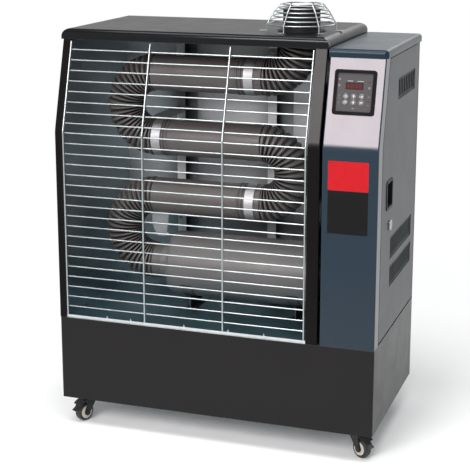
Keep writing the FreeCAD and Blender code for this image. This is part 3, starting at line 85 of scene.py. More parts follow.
def noise(tree, scale, detail=3.0, stretch=(1, 1, 1)):
    """Noise in the part's own space, so it moves with the piece."""
    coords = tree.nodes.new("ShaderNodeTexCoord")
    mapping = tree.nodes.new("ShaderNodeMapping")
    mapping.inputs["Scale"].default_value = stretch
    texture = tree.nodes.new("ShaderNodeTexNoise")
    texture.inputs["Scale"].default_value = scale
    texture.inputs["Detail"].default_value = detail
    tree.links.new(coords.outputs["Object"], mapping.inputs["Vector"])
    tree.links.new(mapping.outputs["Vector"], texture.inputs["Vector"])
    return texture.outputs["Fac"]


def math_node(tree, operation, first, second):
    """Math on a socket and a second socket or number."""
    node = tree.nodes.new("ShaderNodeMath")
    node.operation = operation
    tree.links.new(first, node.inputs[0])
    if isinstance(second, float):
        node.inputs[1].default_value = second
    else:
        tree.links.new(second, node.inputs[1])
    return node.outputs["Value"]


def spread(tree, value, low, high, start=NOISE_LOW, end=NOISE_HIGH):
    """Map a value from start and end onto low and high."""
    node = tree.nodes.new("ShaderNodeMapRange")
    for socket, number in zip(("From Min", "From Max", "To Min", "To Max"), (start, end, low, high)):
        node.inputs[socket].default_value = number
    tree.links.new(value, node.inputs["Value"])
    return node.outputs["Result"]


def toned(colour, share):
    return tuple(min(1.0, c * share) for c in colour)


def mottled(tree, value, colour, tone):
    """Colour that runs from a darker to a paler tone with a noise value."""
    node = tree.nodes.new("ShaderNodeValToRGB")
    stops = ((NOISE_LOW, toned(colour, 1 - tone)), (NOISE_HIGH, toned(colour, 1 + tone)))
    for element, (place, shade) in zip(node.color_ramp.elements, stops):
        element.position = place
        element.color = (*shade, 1.0)
    tree.links.new(value, node.inputs["Fac"])
    return node.outputs["Color"]


def mixed(tree, factor, first, second):
    """Blend a colour socket with a second socket or a plain colour."""
    node = tree.nodes.new("ShaderNodeMix")
    node.data_type = "RGBA"
    tree.links.new(factor, node.inputs[0])
    tree.links.new(first, node.inputs[6])
    if isinstance(second, tuple):
        node.inputs[7].default_value = (*second, 1.0)
    else:
        tree.links.new(second, node.inputs[7])
    return node.outputs[2]


def edge_highlight_mask(tree, width):
    """Mask for the painted edge highlight: one near a sharp edge, none on flat sheet."""
    bevel = tree.nodes.new("ShaderNodeBevel")
    bevel.samples = EDGE_SAMPLES
    bevel.inputs["Radius"].default_value = width
    geometry = tree.nodes.new("ShaderNodeNewGeometry")
    dot = tree.nodes.new("ShaderNodeVectorMath")
    dot.operation = "DOT_PRODUCT"
    tree.links.new(bevel.outputs["Normal"], dot.inputs[0])
    tree.links.new(geometry.outputs["Normal"], dot.inputs[1])
    return spread(tree, dot.outputs["Value"], 1.0, 0.0, *EDGE_TURN)


def finish(name, colour, rough, metal=0.0, tone=0.14, tone_scale=7.0, stretch=(1, 1, 1), rough_spread=0.06,
           grain=900.0, bump=0.08, specular=0.5, coat=0.0, edge=None):
    """Painted, plated or moulded surface: tone patches, uneven gloss, fine grain, and paler edges that are a
    painted highlight.
    """
    material, tree, shader = new_material(name)
    base = mottled(tree, noise(tree, tone_scale, TONE_DETAIL, stretch), colour, tone)
    # Paler edges: a painted highlight along the edges
    if edge:
        width, highlight_colour = edge
        base = mixed(tree, edge_highlight_mask(tree, width), base, highlight_colour)
    tree.links.new(base, shader.inputs["Base Color"])
    gloss = noise(tree, tone_scale * GLOSS_PER_TONE, GLOSS_DETAIL, stretch)
    gloss = spread(tree, gloss, rough - rough_spread, rough + rough_spread)
    tree.links.new(gloss, shader.inputs["Roughness"])
    shader.inputs["Metallic"].default_value = metal
    shader.inputs["Specular IOR Level"].default_value = specular
    shader.inputs["Coat Weight"].default_value = coat
    shader.inputs["Coat Roughness"].default_value = COAT_ROUGH
    relief = tree.nodes.new("ShaderNodeBump")
    relief.inputs["Strength"].default_value = bump
    relief.inputs["Distance"].default_value = GRAIN_DEPTH
    tree.links.new(noise(tree, grain, GRAIN_DETAIL, stretch), relief.inputs["Height"])
    tree.links.new(relief.outputs["Normal"], shader.inputs["Normal"])
    return material


def patch_mask(tree, **ranges):
    """One inside a box of the piece's own space, given as ranges of X, Y or Z in mm."""
    coords = tree.nodes.new("ShaderNodeTexCoord")
    parts = tree.nodes.new("ShaderNodeSeparateXYZ")
    tree.links.new(coords.outputs["Object"], parts.inputs["Vector"])
    mask = None
    for axis, (low, high) in ranges.items():
        for operation, limit in (("GREATER_THAN", low), ("LESS_THAN", high)):
            test = math_node(tree, operation, parts.outputs[axis], limit * MM)
            mask = test if mask is None else math_node(tree, "MULTIPLY", mask, test)
    return mask


def add_colour_patch(material, colour, **ranges):
    """Patch of another colour, such as a painted highlight on a sill or a post face, or a darker leg."""
    tree = material.node_tree
    socket = tree.nodes["Principled BSDF"].inputs["Base Color"]
    under = socket.links[0].from_socket
    patch_colour = mottled(tree, noise(tree, PATCH_FLECK), colour, PATCH_TONE)
    tree.links.new(mixed(tree, patch_mask(tree, **ranges), under, patch_colour), socket)


def add_gloss(material, rough, **ranges):
    """Smoother patch, such as a drawn edge where the powder has flowed out."""
    tree = material.node_tree
    socket = tree.nodes["Principled BSDF"].inputs["Roughness"]
    under = socket.links[0].from_socket
    blend = tree.nodes.new("ShaderNodeMix")
    blend.inputs[3].default_value = rough
    tree.links.new(patch_mask(tree, **ranges), blend.inputs[0])
    tree.links.new(under, blend.inputs[2])
    tree.links.new(blend.outputs[0], socket)


def paint_hollow_shade(material, reach, start, end, share):
    """Painted shade: darker where other surfaces stand close, as in grooves and behind tubes."""
    tree = material.node_tree
    socket = tree.nodes["Principled BSDF"].inputs["Base Color"]
    base = socket.links[0].from_socket
    shade = tree.nodes.new("ShaderNodeAmbientOcclusion")
    shade.samples = HOLLOW_SAMPLES
    shade.inputs["Distance"].default_value = reach
    level = spread(tree, shade.outputs["AO"], share, 1.0, start, end)
    scaled = tree.nodes.new("ShaderNodeVectorMath")
    scaled.operation = "SCALE"
    tree.links.new(base, scaled.inputs[0])
    tree.links.new(level, scaled.inputs["Scale"])
    tree.links.new(scaled.outputs["Vector"], socket)


def heat_coat(name, colour):
    """Matt high-temperature coat, with painted shade down in the grooves and in narrow gaps."""
    material = finish(name, colour, 0.42, tone=0.1, tone_scale=9.0, grain=1100.0, bump=0.1, specular=0.42)
    paint_hollow_shade(material, reach=0.012, start=0.45, end=0.97, share=0.08)
    return material


def dress(material, *names):
    """Give CAD nodes a material."""
    for name in names:
        mesh = nodes[name].data
        mesh.materials.clear()
        mesh.materials.append(material)


# Painted sheet
# Paler edge colours, painted as highlights along the edges of the sheet
BLACK_EDGE_HIGHLIGHT = (0.05, 0.048, 0.048)
BLUE_EDGE_HIGHLIGHT = (0.05, 0.07, 0.08)
charcoal = finish("charcoal_powder", (0.0085, 0.0077, 0.0078), 0.31, tone=0.05, rough_spread=0.03,
                  grain=1500.0, bump=0.1, specular=0.195, edge=(0.0012, BLACK_EDGE_HIGHLIGHT))
hood_paint = finish("hood_powder", (0.0035, 0.0042, 0.005), 0.36, tone=0.05, rough_spread=0.02,
                    grain=1400.0, bump=0.02, specular=0.17, edge=(0.0012, BLACK_EDGE_HIGHLIGHT))
add_gloss(hood_paint, 0.15, Y=(FRONT, HOOD_FRONT + HOOD_NOSE_R))
flange_paint = finish("flange_powder", (0.003, 0.0022, 0.0022), 0.22, tone=0.05, rough_spread=0.02,
                      grain=1400.0, bump=0.03, specular=0.11, edge=(0.001, BLACK_EDGE_HIGHLIGHT))
control_paint = finish("control_gloss", (0.0012, 0.015, 0.028), 0.17, tone=0.05, rough_spread=0.02,
                       grain=500.0, bump=0.01, specular=0.46, edge=(0.001, BLUE_EDGE_HIGHLIGHT))
control_shader = control_paint.node_tree.nodes["Principled BSDF"]
control_shader.inputs["Specular Tint"].default_value = (1.0, 0.93, 0.94, 1.0)
cover_paint = finish("cover_gloss", (0.002, 0.015, 0.028), 0.3, tone=0.04, rough_spread=0.02,
                     grain=600.0, bump=0.02, specular=0.22, edge=(0.001, BLUE_EDGE_HIGHLIGHT))
door_paint = finish("door_satin", (0.040, 0.044, 0.052), 0.42, tone=0.03, rough_spread=0.015,
                    grain=1300.0, bump=0.05, specular=0.4, edge=(0.001, (0.12, 0.12, 0.125)))
vent_paint = finish("vent_satin", (0.012, 0.022, 0.025), 0.5, tone=0.06, grain=1300.0, specular=0.12)
fork_paint = finish("fork_paint", (0.008, 0.008, 0.0085), 0.36, grain=1200.0, bump=0.1, specular=0.4,
                    edge=(0.0006, (0.05, 0.05, 0.052)))
motor_paint = finish("motor_paint", (0.02, 0.02, 0.022), 0.4, grain=1100.0, bump=0.14)
flue_coat = finish("flue_black", (0.008, 0.008, 0.009), 0.6, tone=0.2, bump=0.15, specular=0.25)
tube_coat = heat_coat("tube_heat_coat", (0.078, 0.07, 0.0672))
drum_coat = heat_coat("drum_heat_coat", (0.105, 0.1, 0.0995))

# Bare and plated metal
bright_sheet = finish("bright_sheet", (0.76, 0.78, 0.79), 0.44, metal=1.0, tone=0.05, tone_scale=3.0,
                      stretch=(1, 1, 4), rough_spread=0.05, grain=350.0, bump=0.01)
# Painted shade on the rear reflector behind the tubes and drum
paint_hollow_shade(bright_sheet, reach=0.22, start=0.3, end=0.78, share=0.25)
side_sheet = finish("side_sheet", (0.54, 0.64, 0.71), 0.32, metal=1.0, tone=0.05, tone_scale=3.0,
                    stretch=(1, 1, 4), rough_spread=0.012, grain=350.0, bump=0.003)
floor_sheet = finish("floor_sheet", (0.21, 0.37, 0.42), 0.42, metal=1.0, tone=0.06, tone_scale=3.0,
                     grain=350.0, bump=0.02)
# Painted highlight along the front sill of the floor reflector
SILL_HIGHLIGHT_DEPTH = 3.0
add_colour_patch(floor_sheet, (0.6, 0.65, 0.66), Y=(FRONT, FRONT + SILL_HIGHLIGHT_DEPTH))
zinc = finish("zinc_sheet", (0.52, 0.53, 0.54), 0.44, metal=1.0, tone=0.1, tone_scale=22.0,
              rough_spread=0.08, grain=500.0, bump=0.05, edge=(0.0008, (0.6, 0.61, 0.62)))
support_steel = finish("support_steel", (0.25, 0.27, 0.275), 0.6, metal=0.3, tone=0.1, tone_scale=22.0,
                       grain=500.0, bump=0.05)
# Painted highlight on the front faces of the posts
POST_FACE_HIGHLIGHT = (POST_Y - 0.5, POST_Y + 2.5)
DRUM_LEG_H = 40.0
add_colour_patch(support_steel, (0.74, 0.75, 0.76), Y=POST_FACE_HIGHLIGHT)
add_colour_patch(support_steel, (0.07, 0.08, 0.085), Z=(BASE_TOP, BASE_TOP + DRUM_LEG_H))
# Painted shade where the supports stand close to the tubes and sheets
paint_hollow_shade(support_steel, reach=0.12, start=0.3, end=0.9, share=0.2)
chrome = finish("bright_wire", (0.41, 0.45, 0.455), 0.34, metal=1.0, tone=0.06, tone_scale=30.0,
                rough_spread=0.05, grain=700.0, bump=0.03)
clamp_steel = finish("clamp_band", (0.43, 0.43, 0.44), 0.52, metal=1.0, tone=0.03, tone_scale=26.0,
                     stretch=(8, 1, 1), rough_spread=0.02, grain=600.0, bump=0.01)
cast_metal = finish("cast_metal", (0.42, 0.42, 0.43), 0.5, metal=1.0, tone=0.12, tone_scale=40.0,
                    grain=700.0, bump=0.3)
plain_steel = finish("plain_steel", (0.4, 0.39, 0.38), 0.35, metal=1.0, tone_scale=30.0, grain=600.0)
copper = finish("copper_tube", (0.58, 0.29, 0.17), 0.28, metal=1.0, tone=0.18, tone_scale=40.0,
                grain=600.0, bump=0.04)

# Plastic, rubber, felt and ink
bezel_plastic = finish("bezel_plastic", (0.004, 0.0036, 0.0038), 0.5, tone=0.08, grain=2600.0,
                       specular=0.05, edge=(0.0006, (0.09, 0.088, 0.09)))
panel_plastic = finish("panel_film", (0.062, 0.06, 0.061), 0.66, tone=0.06, grain=3200.0, bump=0.1,
                       specular=0.12)
pull_plastic = finish("pull_plastic", (0.004, 0.004, 0.0045), 0.5, grain=2200.0, bump=0.15, specular=0.3)
window_film = finish("window_film", (0.022, 0.006, 0.0065), 0.5, tone=0.12, rough_spread=0.03, bump=0.01,
                     specular=0.1)
segment_red = finish("segment_red", (0.15, 0.022, 0.021), 0.5, tone=0.1, tone_scale=200.0, bump=0.01,
                     specular=0.1)
key_plastic = finish("key_plastic", (0.058, 0.057, 0.058), 0.66, tone=0.06, grain=3000.0, specular=0.12)
board_green = finish("board_green", (0.02, 0.11, 0.045), 0.35, tone=0.3, tone_scale=160.0, grain=800.0,
                     bump=0.1)
potted_case = finish("potted_case", (0.025, 0.025, 0.027), 0.5, grain=1600.0, bump=0.2)
filter_cup = finish("filter_cup", (0.62, 0.5, 0.27), 0.22, tone=0.1, tone_scale=30.0, grain=500.0,
                    bump=0.03, coat=0.4)
filter_felt = finish("filter_felt", (0.012, 0.02, 0.022), 0.9, tone=0.2, tone_scale=120.0, grain=2500.0,
                     bump=0.4, specular=0.1)
tread_rubber = finish("tread_rubber", (0.014, 0.014, 0.015), 0.6, tone=0.2, tone_scale=60.0,
                      grain=1500.0, bump=0.3)
hub_nylon = finish("hub_nylon", (0.5, 0.47, 0.4), 0.45, tone=0.08, tone_scale=60.0, grain=1200.0, bump=0.1)
# Painted shade for the screws' cross recesses
painted_recess_shade = finish("painted_recess_shade", (0.006, 0.006, 0.006), 0.7, bump=0.1, specular=0.2)


def ink(name, colour, rough, tone):
    return finish(name, colour, rough, tone=tone, tone_scale=300.0, grain=2500.0, bump=0.05, specular=0.1)


def printed_film(name, colour):
    """Thin glossy film in one plain colour, with no words."""
    return finish(name, colour, 0.42, tone=0.06, tone_scale=40.0, rough_spread=0.03, bump=0.01,
                  specular=0.14)


white_ink = ink("white_ink", (0.85, 0.85, 0.86), 0.6, 0.06)
grey_ink = ink("grey_ink", (0.16, 0.16, 0.17), 0.6, 0.06)
red_ink = ink("red_ink", (0.09, 0.03, 0.036), 0.5, 0.1)

# Finish of each CAD node
dress(charcoal, "base_wrap", "base_rear_panel", "rear_panel")
dress(hood_paint, "hood")
dress(flange_paint, "partition_panel", "left_panel")
dress(control_paint, "control_front")
dress(cover_paint, "control_top")
dress(door_paint, "side_door")
dress(vent_paint, "door_vents")
dress(tube_coat, "lower_exhaust_run", "middle_exhaust_run", "upper_exhaust_run", "flue_elbow")
dress(drum_coat, "combustion_drum")
dress(side_sheet, "side_reflectors")
dress(bright_sheet, "rear_reflector")
dress(floor_sheet, "floor_reflector")
dress(support_steel, "tube_supports")
dress(zinc, "base_pan", "deck_plate", "fuel_tank", "hinge_pins", "caster_plates")
dress(chrome, "guard_grille", "flue_guard", "door_lock")
dress(clamp_steel, "band_clamps")
dress(flue_coat, "flue_stub")
dress(bezel_plastic, "display_bezel")
dress(panel_plastic, "display_panel")
dress(pull_plastic, "door_pull")
dress(window_film, "display_window")
dress(board_green, "control_board")
dress(cast_metal, "burner_housing")
dress(plain_steel, "blast_tube", "blower_wheel", "fuel_pump")
dress(motor_paint, "blower_motor")
dress(potted_case, "ignition_transformer", "filler_cap")
dress(filter_cup, "fuel_filter")
dress(copper, "fuel_pipes")
dress(key_plastic, *KEY_PLACES)
for corner in CORNERS:
    dress(fork_paint, "fork_" + corner)
    dress(tread_rubber, "wheel_" + corner)
dress(fork_paint, "pedal_front_left", "pedal_front_right")


# Mesh helpers
def mm(x, y, z):
    return Vector((x, y, z)) * MM


def on_lean(x, v, out):
    """Point on the leaning control front: v runs up from the knee, out stands off the sheet."""
    y = FRONT + v * math.sin(LEAN) - out * math.cos(LEAN)
    return mm(x, y, KNEE_Z + v * math.cos(LEAN) + out * math.sin(LEAN))


def axes_for(normal):
    """Two directions square to a normal that isn't upright, and the normal."""
    normal = Vector(normal).normalized()
    side = normal.cross(Vector((0, 0, 1))).normalized()
    return side, normal.cross(side), normal


def add_lathe(bm, centre, normal, profile, segments):
    """Turned shape: profile is a list of radius and height along the normal, in mm."""
    side, up, normal = axes_for(normal)
    rows = []
    for radius, height in profile:
        row = []
        for k in range(segments):
            turn = 2 * math.pi * k / segments
            spoke = side * math.cos(turn) + up * math.sin(turn)
            row.append(bm.verts.new(centre + (spoke * radius + normal * height) * MM))
        rows.append(row)
    for low, high in zip(rows, rows[1:]):
        for k in range(segments):
            j = (k + 1) % segments
            bm.faces.new((low[k], low[j], high[j], high[k]))
    bm.faces.new(rows[-1])
    bm.faces.new(rows[0][::-1])


def add_slab(bm, outline, lift, material=0):
    """Closed slab: an outline of points raised by one vector."""
    low = [bm.verts.new(p) for p in outline]
    high = [bm.verts.new(p + lift) for p in outline]
    count = len(outline)
    made = [bm.faces.new(low[::-1]), bm.faces.new(high)]
    for k in range(count):
        j = (k + 1) % count
        made.append(bm.faces.new((low[k], low[j], high[j], high[k])))
    for face in made:
        face.material_index = material


def rounded_outline(place, half_x, half_y, radius, steps=5):
    """Points of a rounded rectangle; place maps two numbers to a point."""
    points = []
    for quarter in range(4):
        sx = 1 if quarter in (0, 3) else -1
        sy = 1 if quarter in (0, 1) else -1
        for step in range(steps + 1):
            turn = math.pi / 2 * (quarter + step / steps)
            x = sx * (half_x - radius) + radius * math.cos(turn)
            y = sy * (half_y - radius) + radius * math.sin(turn)
            points.append(place(x, y))
    return points


SMOOTH_ANGLE = math.radians(35.0)
BEVEL_STEPS = 2


def put_piece(name, bm, body, slot, *materials, bevel=0.0):
    """Turn a bmesh into an object that rides on a body."""
    bmesh.ops.recalc_face_normals(bm, faces=bm.faces)
    mesh = bpy.data.meshes.new(name)
    bm.to_mesh(mesh)
    bm.free()
    for material in materials:
        mesh.materials.append(material)
    mesh.polygons.foreach_set("use_smooth", [True] * len(mesh.polygons))
    mesh.set_sharp_from_angle(angle=SMOOTH_ANGLE)
    piece = bpy.data.objects.new(name, mesh)
    scene.collection.objects.link(piece)
    if bevel:
        rounding = piece.modifiers.new("edge_round", "BEVEL")
        rounding.width = bevel * MM
        rounding.segments = BEVEL_STEPS
    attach(piece, body)


# Screws
FORWARD = (0, -1, 0)
BACKWARD = (0, 1, 0)
LEFTWARD = (-1, 0, 0)
# Second material of each set of screws: painted shade in the cross recesses
RECESS_SHADE = 1
# Domed head as shares of its radius: radius and height
DOME_PROFILE = ((1.0, 0.0), (1.0, 0.16), (0.9, 0.36), (0.68, 0.52), (0.4, 0.58))
DOME_SIDES = 14
# Its cross as shares of the radius: height of its foot, arm, half width and rise
DOME_CROSS_Z = 0.5
DOME_CROSS = (0.34, 0.08, 0.1)
# Flush head: rim radius as a share, and heights in mm from the sheet
FLUSH_RIM = 0.9
FLUSH_DEPTH = 0.6
FLUSH_RISE = 0.03
FLUSH_SIDES = 18
# Its cross: arm and half width as shares of the radius, and height over the sheet in mm
FLUSH_CROSS = (0.5, 0.1)
FLUSH_CROSS_RISE = 0.05


def add_cross(bm, foot, normal, arm, half, rise):
    """Cross recess, drawn as two bars of painted shade that rise from a point on the screw's axis, in mm."""
    side, up, normal = axes_for(normal)
    for long, wide in ((side, up), (up, side)):
        reach = long * arm * MM
        edge = wide * half * MM
        outline = [foot - reach - edge, foot + reach - edge, foot + reach + edge, foot - reach + edge]
        add_slab(bm, outline, normal * rise * MM, RECESS_SHADE)


def add_dome_screw(bm, centre, normal, radius):
    add_lathe(bm, centre, normal, [(r * radius, h * radius) for r, h in DOME_PROFILE], DOME_SIDES)
    foot = centre + Vector(normal) * radius * DOME_CROSS_Z * MM
    add_cross(bm, foot, normal, *(radius * share for share in DOME_CROSS))


def add_flush_screw(bm, centre, normal, radius):
    """Countersunk head, flush with the sheet."""
    profile = [(radius, -FLUSH_DEPTH), (radius, 0.0), (radius * FLUSH_RIM, FLUSH_RISE)]
    add_lathe(bm, centre, normal, profile, FLUSH_SIDES)
    foot = centre - Vector(normal) * FLUSH_DEPTH / 2 * MM
    arm, half = (radius * share for share in FLUSH_CROSS)
    add_cross(bm, foot, normal, arm, half, FLUSH_DEPTH / 2 + FLUSH_CROSS_RISE)


def make_screws(name, slot, places, normal, radius, add=add_dome_screw):
    bm = bmesh.new()
    for place in places:
        add(bm, mm(*place), normal, radius)
    put_piece(name, bm, "cabinet", slot, plain_steel, painted_recess_shade)


LEFT_POST_X = -195.4
RIGHT_POST_X = 34.5
SUPPORT_SCREWS = ((-166.3, TUBE_Y - 6.0, 421.8), (LEFT_POST_X, POST_Y, 421.0), (LEFT_POST_X, POST_Y, 688.0),
                  (RIGHT_POST_X, POST_Y - 2.0, 829.5), (RIGHT_POST_X, POST_Y, 330.0),
                  (RIGHT_POST_X, POST_Y, 560.0))
make_screws("support_screws", "zinc", SUPPORT_SCREWS, FORWARD, 3.6)
REFLECTOR_SCREWS = [(x, REFLECT_Y, z) for x in (-331.0, -168.0, 215.0) for z in (335.0, 555.0, 800.0)]
make_screws("reflector_screws", "bright", REFLECTOR_SCREWS, FORWARD, 3.2)

OUTER_SCREW_R = 4.0
rear_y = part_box("rear_panel")[1].y / MM
REAR_SCREWS = [(x, rear_y, z) for x in (-350.0, -120.0, 110.0, 350.0) for z in (268.0, 866.0)]
REAR_SCREWS += [(x, rear_y, 560.0) for x in (-350.0, 350.0)]
make_screws("rear_screws", "charcoal", REAR_SCREWS, BACKWARD, OUTER_SCREW_R, add_flush_screw)
base_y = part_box("base_rear_panel")[1].y / MM
BASE_SCREWS = [(x, base_y, z) for x in (-345.0, 0.0, 345.0) for z in (78.0, 240.0)]
make_screws("base_rear_screws", "charcoal", BASE_SCREWS, BACKWARD, OUTER_SCREW_R, add_flush_screw)
SIDE_SCREWS = [(-HALF_W, y, z) for y in (-150.0, 175.0) for z in (272.0, 640.0)]
make_screws("left_side_screws", "charcoal", SIDE_SCREWS, LEFTWARD, OUTER_SCREW_R)

# Upstanding clips along the sill, which carries a painted highlight
CLIP_X = (-247.0, -190.0, -64.0, 38.0, 119.0)
CLIP_SHAPE = ((-3.5, 0), (3.5, 0), (3.5, 3.5), (1.4, 5.5), (1.2, 9.0), (-0.6, 9.0), (-1.2, 5.5), (-3.5, 3.5))
CLIP_INSET = 1.0
CLIP_DROP = 4.0
CLIP_T = 1.0
TRIM_BEVEL = 0.2
sill_low, sill_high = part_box("floor_reflector")
bm = bmesh.new()
for x in CLIP_X:
    foot = mm(x, sill_low.y / MM + CLIP_INSET, sill_high.z / MM - CLIP_DROP)
    add_slab(bm, [foot + mm(across, 0, rise) for across, rise in CLIP_SHAPE], mm(0, CLIP_T, 0))
put_piece("sill_clips", bm, "cabinet", "bright", clamp_steel, bevel=TRIM_BEVEL)

# Dust filters behind the door's slots, each as a range of Y and of Z
FILTER_PLACES = (((-25.0, 153.0), (759.0, 805.0)), ((-69.0, 155.0), (420.0, 469.0)),
                 ((-69.0, 155.0), (357.5, 404.0)))
FILTER_X = HALF_W - 5.0
FILTER_T = 1.2
FILTER_R = 3.0


def filter_outline(low_y, high_y, low_z, high_z):
    middle_y = (low_y + high_y) / 2
    middle_z = (low_z + high_z) / 2
    return rounded_outline(lambda a, b: mm(FILTER_X, middle_y + a, middle_z + b), (high_y - low_y) / 2,
                           (high_z - low_z) / 2, FILTER_R)


bm = bmesh.new()
for y_range, z_range in FILTER_PLACES:
    add_slab(bm, filter_outline(*y_range, *z_range), mm(FILTER_T, 0, 0))
put_piece("vent_filters", bm, "door", "vent_grey", filter_felt, bevel=TRIM_BEVEL)

# Heights of the printed surfaces above the leaning front, and thickness of the print
PANEL_TOP = 1.6
WINDOW_TOP = 1.4
KEY_TOP = 2.7
PANEL_INK_T = 0.1
KEY_INK_T = 0.12
SEGMENT_T = 0.06
LEAN_OUT = Vector((0, -math.cos(LEAN), math.sin(LEAN)))
BAR_ROUND = 0.3
RING_STEPS = 28
SMALL_RING_STEPS = 16


def add_bar(bm, x, v, width, height, out, thick, material=0):
    """Thin rounded bar on the leaning front."""
    radius = min(width, height) * BAR_ROUND
    outline = rounded_outline(lambda a, b: on_lean(x + a, v + b, out), width / 2, height / 2, radius, 2)
    add_slab(bm, outline, LEAN_OUT * thick * MM, material)


def add_ring(bm, x, v, outer, inner, start=0.0, sweep=360.0, steps=RING_STEPS):
    """Flat ring or arc on a key."""
    for step in range(steps):
        corners = []
        for k, radius in ((step, inner), (step, outer), (step + 1, outer), (step + 1, inner)):
            turn = math.radians(start + sweep * k / steps)
            corners.append(on_lean(x + radius * math.cos(turn), v + radius * math.sin(turn), KEY_TOP))
        add_slab(bm, corners, LEAN_OUT * KEY_INK_T * MM)


def add_key_bar(bm, x, v, width, height):
    add_bar(bm, x, v, width, height, KEY_TOP, KEY_INK_T)


def add_arrow(bm, x, v, way):
    """Short arrow that points up or down."""
    head = ((-2.1, 0.2), (2.1, 0.2), (0.0, 2.6))
    add_slab(bm, [on_lean(x + a, v + b * way, KEY_TOP) for a, b in head[::way]], LEAN_OUT * KEY_INK_T * MM)
    add_key_bar(bm, x, v - 1.0 * way, 1.4, 2.6)


def add_key_sign(bm, name, x, v):
    """Ring and a generic sign: power, up, down, lines, clock or two bars."""
    add_ring(bm, x, v, 4.75, 4.5)
    if name == "key_power":
        add_ring(bm, x, v - 0.2, 2.4, 1.8, 125.0, 290.0, SMALL_RING_STEPS)
        add_key_bar(bm, x, v + 1.4, 0.7, 2.6)
    elif name == "key_up":
        add_arrow(bm, x, v, 1)
    elif name == "key_down":
        add_arrow(bm, x, v, -1)
    elif name == "key_mode":
        for rise in (-1.3, 0.0, 1.3):
            add_key_bar(bm, x, v + rise, 4.2, 0.6)
    elif name == "key_timer":
        add_ring(bm, x, v, 2.5, 2.0, steps=SMALL_RING_STEPS)
        add_key_bar(bm, x, v + 0.7, 0.5, 1.6)
        add_key_bar(bm, x + 0.6, v, 1.4, 0.5)
    else:
        for rise in (-0.8, 0.8):
            add_key_bar(bm, x, v + rise, 5.2, 0.7)


for name, (x, v) in KEY_PLACES.items():
    bm = bmesh.new()
    add_key_sign(bm, name, x, v)
    put_piece(name + "_legend", bm, name, "key_grey", white_ink)

# Panel marks: plain bars and dots, no words, each as across, up, width and height
GREY_MARKS = ((267.7, 142.4, 5.0, 4.0), (268.0, 129.7, 4.4, 5.4), (330.6, 126.0, 5.0, 4.4),
              (268.9, 109.4, 4.6, 1.0), (268.9, 103.8, 5.4, 1.0), (268.9, 94.8, 4.6, 1.0),
              (330.7, 108.0, 3.0, 2.8), (330.2, 91.0, 4.4, 1.0), (299.8, 83.0, 5.0, 2.2))
WHITE_MARKS = ((290.2, 139.3, 11.0, 0.5), (311.0, 139.3, 13.0, 0.5))
RED_MARKS = ((331.0, 138.0, 5.6, 5.0), (330.0, 98.8, 5.6, 3.0))
bm = bmesh.new()
for index, marks in enumerate((GREY_MARKS, WHITE_MARKS, RED_MARKS)):
    for mark in marks:
        add_bar(bm, *mark, PANEL_TOP, PANEL_INK_T, index)
put_piece("panel_marks", bm, "cabinet", "panel_black", grey_ink, white_ink, red_ink)

# Plain printed film on the control front, in two colours and with no words
FILMS = {"red_film": ((0.42, 0.006, 0.011), (593.3, 654.5)),
         "black_film": ((0.004, 0.004, 0.0045), (502.0, 592.7))}
FILM_X = 298.5
FILM_HALF_W = 42.5
FILM_R = 1.2
FILM_T = 0.06


def film_outline(low_z, high_z):
    middle = (low_z + high_z) / 2
    return rounded_outline(lambda a, b: mm(FILM_X + a, FRONT, middle + b), FILM_HALF_W, (high_z - low_z) / 2,
                           FILM_R)


for name, (colour, z_range) in FILMS.items():
    bm = bmesh.new()
    add_slab(bm, film_outline(*z_range), mm(0, -FILM_T, 0))
    put_piece(name, bm, "cabinet", "control_blue", printed_film(name, colour))

# Unlit number segments behind the window: across, up, width and height from a digit's middle
SEGMENTS = ((0.0, 4.1, 4.0, 0.9), (0.0, 0.0, 4.0, 0.9), (0.0, -4.1, 4.0, 0.9), (-2.3, 2.05, 0.9, 3.0),
            (2.3, 2.05, 0.9, 3.0), (-2.3, -2.05, 0.9, 3.0), (2.3, -2.05, 0.9, 3.0))
DIGITS = 4
DIGIT_X = 287.0
DIGIT_STEP = 7.6
DIGIT_V = 129.0
COLON_X = 299.2
COLON_GAP = 1.6
COLON_RISE = 2.0
COLON_DOT = 1.1
bm = bmesh.new()
for digit in range(DIGITS):
    digit_x = DIGIT_X + DIGIT_STEP * digit + (COLON_GAP if digit >= DIGITS / 2 else 0.0)
    for across, rise, width, height in SEGMENTS:
        add_bar(bm, digit_x + across, DIGIT_V + rise, width, height, WINDOW_TOP, SEGMENT_T)
for rise in (-COLON_RISE, COLON_RISE):
    add_bar(bm, COLON_X, DIGIT_V + rise, COLON_DOT, COLON_DOT, WINDOW_TOP, SEGMENT_T)
put_piece("window_segments", bm, "cabinet", "window_red", segment_red)

# Pale hub caps on both sides of each wheel: radius, and height over the wheel's recess
HUB_PROFILE = ((15.0, -0.2), (15.0, 0.25), (14.0, 0.8), (10.5, 0.8), (9.6, 0.35), (7.2, 0.35), (6.6, 0.9),
               (5.2, 0.9))
HUB_OFFSET = 9.0
HUB_SIDES = 32
for corner in CORNERS:
    low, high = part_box("wheel_" + corner)
    turn = math.radians(HEADINGS[corner])
    axle = Vector((-math.sin(turn), math.cos(turn), 0))
    bm = bmesh.new()
    for way in (-1, 1):
        middle = (low + high) / 2 + axle * way * HUB_OFFSET * MM
        add_lathe(bm, middle, axle * way, HUB_PROFILE, HUB_SIDES)
    put_piece("hub_caps_" + corner, bm, "roller_" + corner, "tread", hub_nylon)

# Floor, light and camera, in metres and watts
WHITE = (1.0, 1.0, 1.0, 1.0)
FLOOR_EDGE = 40.0
FLOOR_COLOUR = (0.88, 0.9, 0.9, 1.0)
FLOOR_ROUGH = 0.9
# The floor turns to plain white between these distances from the middle
FLOOR_FADE = (0.5, 1.6)
WORLD_LEVEL = 0.46
